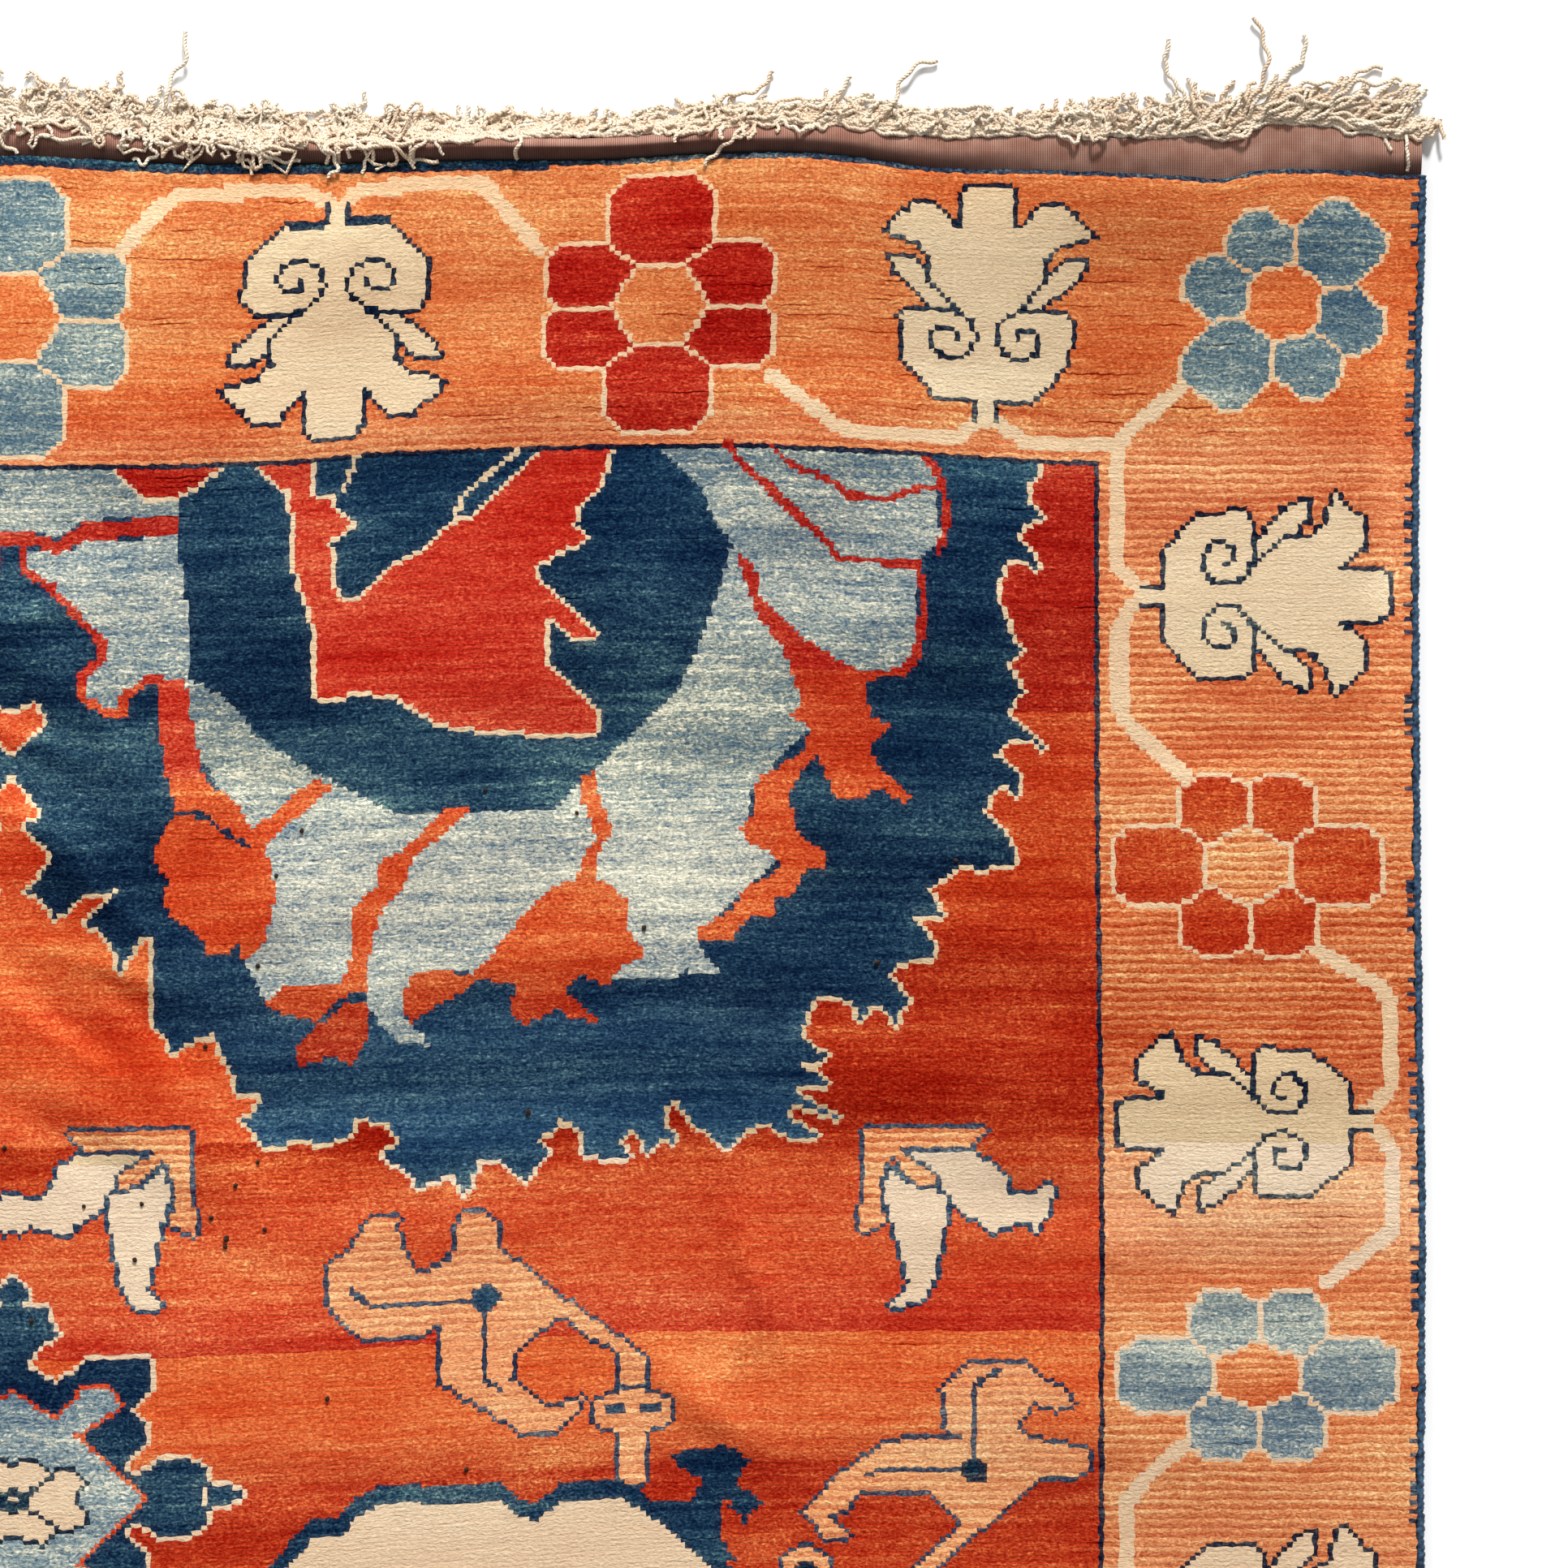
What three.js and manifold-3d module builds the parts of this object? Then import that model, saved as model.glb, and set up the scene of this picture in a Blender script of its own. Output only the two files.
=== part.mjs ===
// A hand-knotted wool carpet lying on a floor. The knotted pile is one thick slab with soft folds.
// Its long sides are bound with an overcast wool cord. At both ends the warps run on through a
// flat-woven band, which buckles up from the floor, and end in a cotton fringe.
// Millimetres, X across the carpet, Y along it towards the head end, Z up from the floor.
import * as THREE from 'three';
import { mergeVertices } from 'three/addons/utils/BufferGeometryUtils.js';
import Module from 'manifold-3d';

const wasm = await Module();
wasm.setup();

// Driving dimensions
const GAP = 0.3;
const PILE_LENGTH = 2970;
const PILE_THICKNESS = 11;
const PILE_RIM_DROP = 1.5;
const PILE_COLUMNS = 40;
const PILE_ROWS = 36;
const HUB = { x: 150, y: 90 };
const BINDING_RADIUS = 4.9;
const BINDING_SIDES = 8;
const BAND_HALF_WIDTH = 1216;
const BAND_THICKNESS = 2.6;
const BAND_ROWS = 4;
const HEADING_WIDTH = 6;
const HEADING_HEIGHT = 4;
const LOCKS_PER_END = 106;
const LOCK_STEPS = 5;
const LOCK = { inset: 7, lift: 0.6, drop: 14 };
const LOCK_ROOT = { halfWidth: 1.6, height: 2.8 };
const LOCK_BODY = { halfWidth: 3.6, height: 4.4 };
const LOCK_TIP = { halfWidth: 1.2, height: 2 };
const CURL = { wave: 34, swing: 4, start: 15, spread: 0.3, loose: 0.12, looseFrom: 45 };

// Where the edges of the pile run: distance from the middle line at each place along the carpet
const SIDES = [
  { y: -1485, left: 1207, right: 1206 },
  { y: -1100, left: 1210, right: 1209 },
  { y: -620, left: 1206, right: 1206 },
  { y: -180, left: 1209, right: 1210 },
  { y: 325, left: 1207, right: 1209.5 },
  { y: 577, left: 1210, right: 1210.5 },
  { y: 790, left: 1209, right: 1207.5 },
  { y: 955, left: 1206, right: 1205.5 },
  { y: 1250, left: 1208, right: 1205.5 },
  { y: 1485, left: 1206, right: 1211 },
];

// Each end, as seen when standing at it with the carpet behind. end: where the pile stops.
// reach: how far the flat-woven band goes on from there. arch: how high it buckles between its two
// edges. lip: how high its outer edge stays. fringe: length of the locks. fan: their lean, degrees.
const HEAD = [
  { x: -1200, end: 1483, reach: 30, arch: 6, lip: 0, fringe: 46, fan: -35 },
  { x: -1100, end: 1487, reach: 33, arch: 4, lip: 0, fringe: 44, fan: -15 },
  { x: -940, end: 1481, reach: 28, arch: 8, lip: 2, fringe: 38, fan: 8 },
  { x: -760, end: 1486, reach: 24, arch: 11, lip: 3, fringe: 36, fan: 12 },
  { x: -560, end: 1490, reach: 30, arch: 5, lip: 0, fringe: 40, fan: -6 },
  { x: -360, end: 1484, reach: 22, arch: 13, lip: 5, fringe: 35, fan: -12 },
  { x: -160, end: 1489, reach: 30, arch: 6, lip: 1, fringe: 42, fan: 4 },
  { x: 0, end: 1493, reach: 33, arch: 5, lip: 0, fringe: 46, fan: 10 },
  { x: 130, end: 1486, reach: 28, arch: 9, lip: 2, fringe: 40, fan: 6 },
  { x: 250, end: 1485, reach: 22, arch: 12, lip: 6, fringe: 34, fan: 12 },
  { x: 400, end: 1488, reach: 20, arch: 12, lip: 10, fringe: 34, fan: 8 },
  { x: 520, end: 1489, reach: 19, arch: 12, lip: 10, fringe: 38, fan: 18 },
  { x: 600, end: 1494, reach: 22, arch: 13, lip: 6, fringe: 40, fan: 28 },
  { x: 700, end: 1494, reach: 25, arch: 10, lip: 3, fringe: 42, fan: 30 },
  { x: 790, end: 1483, reach: 26, arch: 9, lip: 3, fringe: 32, fan: 14 },
  { x: 900, end: 1480, reach: 30, arch: 5, lip: 2, fringe: 36, fan: -4 },
  { x: 1000, end: 1476, reach: 32, arch: 5, lip: 2, fringe: 42, fan: 10 },
  { x: 1040, end: 1473, reach: 40, arch: 4, lip: 0, fringe: 46, fan: 10 },
  { x: 1075, end: 1480, reach: 40, arch: 3, lip: 0, fringe: 46, fan: 8 },
  { x: 1150, end: 1480, reach: 35, arch: 5, lip: 2, fringe: 48, fan: 18 },
  { x: 1200, end: 1476, reach: 30, arch: 7, lip: 3, fringe: 46, fan: 42 },
];
const FOOT = [
  { x: -1200, end: 1479, reach: 33, arch: 4, lip: 0, fringe: 45, fan: -30 },
  { x: -1000, end: 1484, reach: 28, arch: 8, lip: 2, fringe: 38, fan: -8 },
  { x: -780, end: 1488, reach: 24, arch: 11, lip: 5, fringe: 36, fan: 10 },
  { x: -540, end: 1482, reach: 31, arch: 5, lip: 0, fringe: 42, fan: 4 },
  { x: -300, end: 1486, reach: 27, arch: 9, lip: 3, fringe: 40, fan: -10 },
  { x: -60, end: 1490, reach: 33, arch: 4, lip: 0, fringe: 46, fan: -4 },
  { x: 180, end: 1485, reach: 25, arch: 11, lip: 4, fringe: 38, fan: 12 },
  { x: 420, end: 1481, reach: 30, arch: 6, lip: 1, fringe: 42, fan: 6 },
  { x: 640, end: 1487, reach: 22, arch: 12, lip: 6, fringe: 36, fan: 16 },
  { x: 860, end: 1484, reach: 31, arch: 5, lip: 0, fringe: 40, fan: -6 },
  { x: 1060, end: 1480, reach: 28, arch: 8, lip: 2, fringe: 44, fan: 10 },
  { x: 1200, end: 1483, reach: 33, arch: 5, lip: 1, fringe: 46, fan: 32 },
];

// Locks that have worked loose and lie further out than their neighbours
const HEAD_STRAYS = [
  { x: -820, length: 80, fan: 14 },
  { x: -300, length: 68, fan: -10 },
  { x: 140, length: 84, fan: 10 },
  { x: 590, length: 58, fan: 28 },
  { x: 742, length: 62, fan: 30 },
  { x: 1052, length: 94, fan: 8 },
  { x: 1112, length: 70, fan: 14 },
  { x: 1208, length: 48, fan: 92 },
];
const FOOT_STRAYS = [
  { x: -900, length: 82, fan: -2 },
  { x: 320, length: 74, fan: 10 },
  { x: 1010, length: 86, fan: 8 },
];

// Soft folds in the pile: middle, direction in degrees, half length, half width and height
const FOLDS = [
  { x: 66, y: 864, turn: -45, length: 150, width: 44, height: 4 },
  { x: 60, y: 690, turn: -36, length: 150, width: 34, height: 4.5 },
  { x: 20, y: 1050, turn: -48, length: 120, width: 42, height: 3.5 },
  { x: 640, y: 550, turn: -78, length: 120, width: 30, height: 3 },
  { x: 610, y: 415, turn: -40, length: 90, width: 30, height: 2.5 },
  { x: 275, y: 1415, turn: 85, length: 90, width: 34, height: 2.5 },
  { x: -430, y: 900, turn: 24, length: 180, width: 42, height: 3.5 },
  { x: -760, y: 320, turn: -30, length: 150, width: 40, height: 3 },
  { x: -240, y: -180, turn: 55, length: 160, width: 44, height: 3.5 },
  { x: 380, y: -420, turn: 30, length: 180, width: 40, height: 4 },
  { x: -420, y: -960, turn: -62, length: 150, width: 40, height: 3 },
  { x: 760, y: -980, turn: 14, length: 160, width: 38, height: 3 },
];

// A smooth curve through one column of a table
function curve(rows, place, column) {
  const places = rows.map((row) => row[place]);
  const values = rows.map((row) => row[column]);
  const line = new THREE.CubicInterpolant(places, values, 1);
  return (at) => line.evaluate(at)[0];
}

// A number from -1 to 1 that looks random but is the same each time
function scatter(seed) {
  const wave = Math.sin(seed * 12.9898) * 43758.5453;
  return 2 * (wave - Math.floor(wave)) - 1;
}

const leftEdge = curve(SIDES, 'y', 'left');
const rightEdge = curve(SIDES, 'y', 'right');
const headLine = curve(HEAD, 'x', 'end');
const footLine = curve(FOOT, 'x', 'end');

// A corner of the pile's grid, seen from above
function pilePlan(column, row) {
  const along = row / PILE_ROWS;
  const nominal = (along - 0.5) * PILE_LENGTH;
  const x = THREE.MathUtils.lerp(-leftEdge(nominal), rightEdge(nominal), column / PILE_COLUMNS);
  const y = THREE.MathUtils.lerp(-footLine(-x), headLine(x), along);
  return { x, y };
}

function foldHeight(x, y) {
  let height = 0;
  for (const fold of FOLDS) {
    const turn = THREE.MathUtils.degToRad(fold.turn);
    const dx = x - fold.x;
    const dy = y - fold.y;
    const along = (dx * Math.cos(turn) + dy * Math.sin(turn)) / fold.length;
    const across = (dy * Math.cos(turn) - dx * Math.sin(turn)) / fold.width;
    height += fold.height * Math.exp(-along * along - across * across);
  }
  return height;
}

// The pile: an uneven top on a grid, upright edges, and a flat underside fanning out from a hub
function pileGeometry() {
  const positions = [];
  const triangles = [];
  const topIndex = (column, row) => row * (PILE_COLUMNS + 1) + column;
  for (let row = 0; row <= PILE_ROWS; row++) {
    for (let column = 0; column <= PILE_COLUMNS; column++) {
      const { x, y } = pilePlan(column, row);
      const onRim = row === 0 || row === PILE_ROWS || column === 0 || column === PILE_COLUMNS;
      const z = onRim ? PILE_THICKNESS - PILE_RIM_DROP : PILE_THICKNESS + foldHeight(x, y);
      positions.push(x, y, z);
    }
  }
  for (let row = 0; row < PILE_ROWS; row++) {
    for (let column = 0; column < PILE_COLUMNS; column++) {
      const near = topIndex(column, row);
      const nearRight = topIndex(column + 1, row);
      const far = topIndex(column, row + 1);
      const farRight = topIndex(column + 1, row + 1);
      triangles.push(near, nearRight, farRight, near, farRight, far);
    }
  }
  const rim = [];
  for (let column = 0; column < PILE_COLUMNS; column++) rim.push(topIndex(column, 0));
  for (let row = 0; row < PILE_ROWS; row++) rim.push(topIndex(PILE_COLUMNS, row));
  for (let column = PILE_COLUMNS; column > 0; column--) rim.push(topIndex(column, PILE_ROWS));
  for (let row = PILE_ROWS; row > 0; row--) rim.push(topIndex(0, row));
  const underside = positions.length / 3;
  for (const corner of rim) positions.push(positions[3 * corner], positions[3 * corner + 1], 0);
  const hub = positions.length / 3;
  positions.push(HUB.x, HUB.y, 0);
  rim.forEach((corner, k) => {
    const next = (k + 1) % rim.length;
    triangles.push(underside + k, underside + next, rim[next]);
    triangles.push(underside + k, rim[next], corner);
    triangles.push(hub, underside + next, underside + k);
  });
  return closedGeometry(positions, triangles);
}

function closedGeometry(positions, triangles) {
  const geometry = new THREE.BufferGeometry();
  geometry.setAttribute('position', new THREE.Float32BufferAttribute(positions, 3));
  geometry.setIndex(triangles);
  return geometry;
}

// Only the positions of a stock geometry, with the vertices along its seams merged
function bareGeometry(geometry) {
  geometry.deleteAttribute('normal');
  geometry.deleteAttribute('uv');
  return mergeVertices(geometry);
}

// A cord of overcast wool along one side of the pile, level with it at every row
function bindingGeometry(side) {
  const flat = BINDING_RADIUS * Math.cos(Math.PI / BINDING_SIDES);
  const cord = bareGeometry(new THREE.CylinderGeometry(
    BINDING_RADIUS, BINDING_RADIUS, 1, BINDING_SIDES, PILE_ROWS, false, Math.PI / BINDING_SIDES));
  const points = cord.attributes.position;
  for (let k = 0; k < points.count; k++) {
    const row = Math.round((points.getY(k) + 0.5) * PILE_ROWS);
    const edge = pilePlan(side > 0 ? PILE_COLUMNS : 0, row);
    points.setXYZ(k, edge.x + side * (GAP + flat) + points.getX(k), edge.y, flat + points.getZ(k));
  }
  return cord;
}

// One end of the carpet: its table as curves, and the places across it where its pieces have corners
function carpetEnd(rows, strays, row, turn) {
  const corners = [];
  for (let column = 0; column <= PILE_COLUMNS; column++) corners.push(turn * pilePlan(column, row).x);
  corners.sort((a, b) => a - b);
  const end = { turn, strays, stations: [-BAND_HALF_WIDTH, ...corners, BAND_HALF_WIDTH] };
  for (const column of ['end', 'reach', 'arch', 'lip', 'fringe', 'fan']) {
    end[column] = curve(rows, 'x', column);
  }
  end.headingY = straightBetween(end.stations, (x) => end.end(x) + end.reach(x) + 2 * GAP);
  end.headingZ = straightBetween(end.stations, end.lip);
  return end;
}

// A line that runs straight from station to station, as the bent pieces do
function straightBetween(stations, height) {
  const line = new THREE.LinearInterpolant(stations, stations.map(height), 1);
  return (at) => line.evaluate(at)[0];
}

// A flat bar with a row of corners at each station, bent point by point
function bentBar(end, rows, place) {
  const columns = end.stations.length - 1;
  const bar = bareGeometry(new THREE.BoxGeometry(columns, rows, 1, columns, rows, 1));
  const points = bar.attributes.position;
  for (let k = 0; k < points.count; k++) {
    const x = end.stations[Math.round(points.getX(k) + columns / 2)];
    const across = (points.getY(k) + rows / 2) / rows;
    const { y, z } = place(x, across, points.getZ(k) > 0);
    points.setXYZ(k, end.turn * x, end.turn * y, z);
  }
  return bar;
}

// The flat-woven band between the pile and the fringe, buckled up from the floor
function bandGeometry(end) {
  return bentBar(end, BAND_ROWS, (x, across, top) => ({
    y: end.end(x) + GAP + end.reach(x) * across,
    z: end.arch(x) * 4 * across * (1 - across)
      + end.lip(x) * THREE.MathUtils.smoothstep(across, 0, 1)
      + (top ? BAND_THICKNESS : 0),
  }));
}

// The braided strip that the locks come out of, along the outer edge of the band
function headingGeometry(end) {
  return bentBar(end, 1, (x, across, top) => ({
    y: end.headingY(x) + HEADING_WIDTH * across,
    z: end.headingZ(x) + (top ? HEADING_HEIGHT : 0),
  }));
}

// How wide and high a lock is: slim inside the strip, then full, then tapering to its tip
function lockSection(step) {
  if (step === 0) return LOCK_ROOT;
  const share = step / LOCK_STEPS;
  return {
    halfWidth: THREE.MathUtils.lerp(LOCK_BODY.halfWidth, LOCK_TIP.halfWidth, share),
    height: THREE.MathUtils.lerp(LOCK_BODY.height, LOCK_TIP.height, share),
  };
}

// A three-sided lock with a flat underside: out of the strip, down to the floor, and along it
function lockGeometry(end, x, length, fan, seed) {
  const turn = THREE.MathUtils.degToRad(fan);
  const rootY = end.headingY(x) + HEADING_WIDTH / 2;
  const rootZ = end.headingZ(x) + LOCK.lift;
  const positions = [];
  const triangles = [];
  for (let step = 0; step <= LOCK_STEPS; step++) {
    const run = length * step / LOCK_STEPS;
    const swing = CURL.swing * THREE.MathUtils.smoothstep(run, 0, CURL.start)
      + CURL.loose * Math.max(0, run - CURL.looseFrom);
    const sway = swing * Math.sin(2 * Math.PI * (run / CURL.wave + CURL.spread * scatter(seed)));
    const midX = x + run * Math.sin(turn) + sway * Math.cos(turn);
    const midY = rootY + run * Math.cos(turn) - sway * Math.sin(turn);
    const { halfWidth, height } = lockSection(step);
    const floor = rootZ * (1 - THREE.MathUtils.smoothstep(run, 0, LOCK.drop));
    const sideX = halfWidth * Math.cos(turn);
    const sideY = halfWidth * Math.sin(turn);
    for (const corner of [
      [midX - sideX, midY + sideY, floor],
      [midX + sideX, midY - sideY, floor],
      [midX, midY, floor + height],
    ]) {
      positions.push(end.turn * corner[0], end.turn * corner[1], corner[2]);
    }
    if (step === 0) continue;
    for (let a = 0; a < 3; a++) {
      const b = (a + 1) % 3;
      const last = 3 * (step - 1);
      triangles.push(last + a, last + 3 + a, last + 3 + b, last + a, last + 3 + b, last + b);
    }
  }
  const tip = 3 * LOCK_STEPS;
  triangles.push(0, 1, 2, tip + 2, tip + 1, tip);
  return closedGeometry(positions, triangles);
}

function toManifold(geometry) {
  return new wasm.Manifold(new wasm.Mesh({
    numProp: 3,
    vertProperties: new Float32Array(geometry.attributes.position.array),
    triVerts: new Uint32Array(geometry.index.array),
  }));
}

function fringeGeometry(end) {
  const solids = [toManifold(headingGeometry(end))];
  const span = BAND_HALF_WIDTH - LOCK.inset;
  const places = [];
  for (let k = 0; k < LOCKS_PER_END; k++) {
    const x = THREE.MathUtils.lerp(-span, span, k / (LOCKS_PER_END - 1));
    const length = end.fringe(x) * (1 + 0.16 * scatter(k + 0.5));
    places.push({ x, length, fan: end.fan(x) + 3 * scatter(k + 0.2), seed: k });
  }
  for (const stray of end.strays) {
    const nearest = places.reduce((a, b) => (Math.abs(b.x - stray.x) < Math.abs(a.x - stray.x) ? b : a));
    nearest.length = stray.length;
    nearest.fan = stray.fan;
  }
  for (const { x, length, fan, seed } of places) {
    solids.push(toManifold(lockGeometry(end, x, length, fan, seed)));
  }
  const { vertProperties, triVerts } = wasm.Manifold.union(solids).getMesh();
  return closedGeometry(Array.from(vertProperties), Array.from(triVerts));
}

const wool = new THREE.MeshStandardMaterial({ color: 0xb8472b, roughness: 0.95, metalness: 0 });
const bindingWool = new THREE.MeshStandardMaterial({ color: 0x23405f, roughness: 0.9, metalness: 0 });
const bandWool = new THREE.MeshStandardMaterial({ color: 0x9a6f62, roughness: 0.9, metalness: 0 });
const cotton = new THREE.MeshStandardMaterial({ color: 0xd8c4a6, roughness: 0.92, metalness: 0 });

const head = carpetEnd(HEAD, HEAD_STRAYS, PILE_ROWS, 1);
const foot = carpetEnd(FOOT, FOOT_STRAYS, 0, -1);
const pieces = [
  ['knotted_pile', pileGeometry(), wool],
  ['side_binding_right', bindingGeometry(1), bindingWool],
  ['side_binding_left', bindingGeometry(-1), bindingWool],
  ['flat_weave_head', bandGeometry(head), bandWool],
  ['flat_weave_foot', bandGeometry(foot), bandWool],
  ['fringe_head', fringeGeometry(head), cotton],
  ['fringe_foot', fringeGeometry(foot), cotton],
];

const carpet = new THREE.Group();
for (const [name, geometry, material] of pieces) {
  const mesh = new THREE.Mesh(geometry, material);
  mesh.name = name;
  carpet.add(mesh);
}

export default carpet;
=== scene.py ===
# A harshang carpet laid flat: knotted pile, bound sides, flat-woven ends and fringes
import math

import bpy
import numpy as np
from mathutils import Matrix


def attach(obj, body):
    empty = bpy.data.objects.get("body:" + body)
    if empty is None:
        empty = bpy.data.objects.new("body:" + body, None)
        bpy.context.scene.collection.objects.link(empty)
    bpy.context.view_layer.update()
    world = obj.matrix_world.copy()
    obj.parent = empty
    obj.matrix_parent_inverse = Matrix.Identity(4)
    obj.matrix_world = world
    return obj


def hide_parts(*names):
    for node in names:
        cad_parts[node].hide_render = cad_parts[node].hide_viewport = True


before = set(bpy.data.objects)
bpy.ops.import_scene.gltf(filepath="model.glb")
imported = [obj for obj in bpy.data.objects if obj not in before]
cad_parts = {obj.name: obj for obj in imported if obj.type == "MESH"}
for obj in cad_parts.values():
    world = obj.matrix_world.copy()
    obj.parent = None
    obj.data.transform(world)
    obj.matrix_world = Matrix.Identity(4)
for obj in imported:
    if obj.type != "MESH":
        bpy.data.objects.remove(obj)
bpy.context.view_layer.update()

# Camera, floor and light
# The carpet lies on a plain pale floor. The camera hangs over its top right part and looks straight
# down through a long lens. Soft light comes from all round, and from a broad lamp and a soft box that
# stand past the head end.
MM = 0.001
VIEW_CENTRE = (0.6657, 0.951)
VIEW_WIDTH = 1.352
CAMERA_HEIGHT = 5.6
PILE_TOP = 0.011
SENSOR_WIDTH = 36.0

camera = bpy.data.objects.new("camera", bpy.data.cameras.new("camera"))
bpy.context.scene.collection.objects.link(camera)
camera.location = (*VIEW_CENTRE, CAMERA_HEIGHT)
camera.data.sensor_width = SENSOR_WIDTH
camera.data.lens = SENSOR_WIDTH * (CAMERA_HEIGHT - PILE_TOP) / VIEW_WIDTH
bpy.context.scene.camera = camera


def new_material(name, **constants):
    """A material with a Principled shader, whose unchanging values are set on its own sockets."""
    material = bpy.data.materials.new(name)
    material.use_nodes = True
    shader = material.node_tree.nodes["Principled BSDF"]
    for socket, value in constants.items():
        shader.inputs[socket.replace("_", " ")].default_value = value
    return material, material.node_tree, shader


def new_piece(name, vertices, faces, materials):
    """A mesh piece at the origin."""
    mesh = bpy.data.meshes.new(name)
    mesh.from_pydata(vertices, [], faces)
    for material in materials:
        mesh.materials.append(material)
    piece = bpy.data.objects.new(name, mesh)
    bpy.context.scene.collection.objects.link(piece)
    return piece


FLOOR_HALF = 9.0
FLOOR_DEPTH = -0.0006
floor_material, _, _ = new_material("floor_white", Base_Color=(0.93, 0.93, 0.93, 1), Roughness=0.9)
floor = new_piece(
    "floor",
    [(x * FLOOR_HALF, y * FLOOR_HALF, FLOOR_DEPTH) for x, y in ((-1, -1), (1, -1), (1, 1), (-1, 1))],
    [(0, 1, 2, 3)], [floor_material])

ROOM_LIGHT = 0.36
world = bpy.data.worlds.new("soft_room")
world.use_nodes = True
world.node_tree.nodes["Background"].inputs["Color"].default_value = (1, 1, 1, 1)
world.node_tree.nodes["Background"].inputs["Strength"].default_value = ROOM_LIGHT
bpy.context.scene.world = world
bpy.context.scene.view_settings.view_transform = "Standard"
# Angles are in degrees
LAMP = {"above_floor": 34, "turn": -8, "breadth": 9, "power": 4.1}
lamp = bpy.data.objects.new("lamp", bpy.data.lights.new("lamp", "SUN"))
lamp.data.energy = LAMP["power"]
lamp.data.angle = math.radians(LAMP["breadth"])
lamp.rotation_euler = (math.radians(LAMP["above_floor"] - 90), 0, math.radians(LAMP["turn"]))
bpy.context.scene.collection.objects.link(lamp)
SOFT_BOX = {"place": (-0.35, 2.35, 1.25), "turn": (-32, -12, 0), "size": 0.7, "power": 11}
soft_box = bpy.data.objects.new("soft_box", bpy.data.lights.new("soft_box", "AREA"))
soft_box.data.energy = SOFT_BOX["power"]
soft_box.data.size = SOFT_BOX["size"]
soft_box.location = SOFT_BOX["place"]
soft_box.rotation_euler = [math.radians(angle) for angle in SOFT_BOX["turn"]]
bpy.context.scene.collection.objects.link(soft_box)

# The knotted pile
# Wool knots on a cotton foundation, in rows that wander a little, cut to a pile of 11 mm. The whole
# design is charted knot by knot: a drawn quarter, mirrored left to right and head to foot.
HALF_COLUMNS = 275
HALF_ROWS = 366
BORDER_ROW = 61
BORDER_COLUMN = 214
YARNS = [
    "field", "indigo", "sky", "ivory", "apricot", "crimson", "scarlet", "ember", "navy", "peach", "vine",
    "denim", "azure", "blaze", "brick",
]
CODE = {name: number for number, name in enumerate(YARNS)}
chart = np.zeros((HALF_ROWS, HALF_COLUMNS), int)
knot_rows, knot_columns = np.mgrid[0:HALF_ROWS, 0:HALF_COLUMNS] + 0.5
BOW_STEPS = 5


def bent(points):
    """An outline as a fine polygon. A third number bows the stretch after its point to one side."""
    fine = []
    for place, point in enumerate(points):
        after = points[(place + 1) % len(points)]
        bow = point[2] if len(point) > 2 else 0
        across = (point[1] - after[1], after[0] - point[0])
        for share in (np.arange(BOW_STEPS) / BOW_STEPS if bow else (0,)):
            bulge = 4 * bow * share * (1 - share)
            fine.append((point[0] + (after[0] - point[0]) * share + bulge * across[0],
                         point[1] + (after[1] - point[1]) * share + bulge * across[1]))
    return fine


def inside(points):
    """The knots inside an outline."""
    found = np.zeros(chart.shape, bool)
    for (c0, r0), (c1, r1) in zip(points, points[1:] + points[:1]):
        if r0 == r1:
            continue
        crosses = (knot_rows > min(r0, r1)) & (knot_rows <= max(r0, r1))
        found ^= crosses & (knot_columns < c0 + (knot_rows - r0) * (c1 - c0) / (r1 - r0))
    return found


def along(points, width):
    """The knots within half a width of a line from point to point."""
    found = np.zeros(chart.shape, bool)
    for (c0, r0), (c1, r1) in zip(points, points[1:]):
        dc, dr = c1 - c0, r1 - r0
        share = ((knot_columns - c0) * dc + (knot_rows - r0) * dr) / max(dc * dc + dr * dr, 1e-6)
        share = np.clip(share, 0, 1)
        found |= np.hypot(knot_columns - c0 - share * dc, knot_rows - r0 - share * dr) <= width / 2
    return found


def thread(points):
    """A line one knot wide from point to point, stepping also cornerwise."""
    found = np.zeros(chart.shape, bool)
    for (c0, r0), (c1, r1) in zip(points, points[1:]):
        share = np.linspace(0, 1, int(max(abs(c1 - c0), abs(r1 - r0))) + 2)
        columns = np.floor(c0 + (c1 - c0) * share).astype(int)
        rows = np.floor(r0 + (r1 - r0) * share).astype(int)
        charted = (columns >= 0) & (columns < HALF_COLUMNS) & (rows >= 0) & (rows < HALF_ROWS)
        found[rows[charted], columns[charted]] = True
    return found


def grown(mask):
    """A mask one knot larger on every side."""
    wide = mask.copy()
    wide[1:] |= mask[:-1]
    wide[:-1] |= mask[1:]
    wide[:, 1:] |= mask[:, :-1]
    wide[:, :-1] |= mask[:, 1:]
    return wide


def oval(c, r, half_width, half_height):
    """The knots inside an oval."""
    return ((knot_columns - c) / half_width) ** 2 + ((knot_rows - r) / half_height) ** 2 <= 1


def knot(mask, yarn, line=None, within=None):
    """Work a mask in one yarn, with a line of knots in another around it."""
    if line:
        edge = grown(mask) & ~mask
        if within is not None:
            edge &= within
        chart[edge] = CODE[line]
    chart[mask] = CODE[yarn]


def worked_in(yarn):
    """The knots that are worked in a yarn so far."""
    return chart == CODE[yarn]


def turned(points, c, r, quarter, flip=1, scale=(1, 1)):
    """Points given as across and along, placed at a knot and turned by quarter turns."""
    placed = []
    for across, ahead in points:
        across, ahead = across * flip * scale[0], ahead * scale[1]
        for _ in range(quarter % 4):
            across, ahead = -ahead, across
        placed.append((c + across, r + ahead))
    return placed


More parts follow.
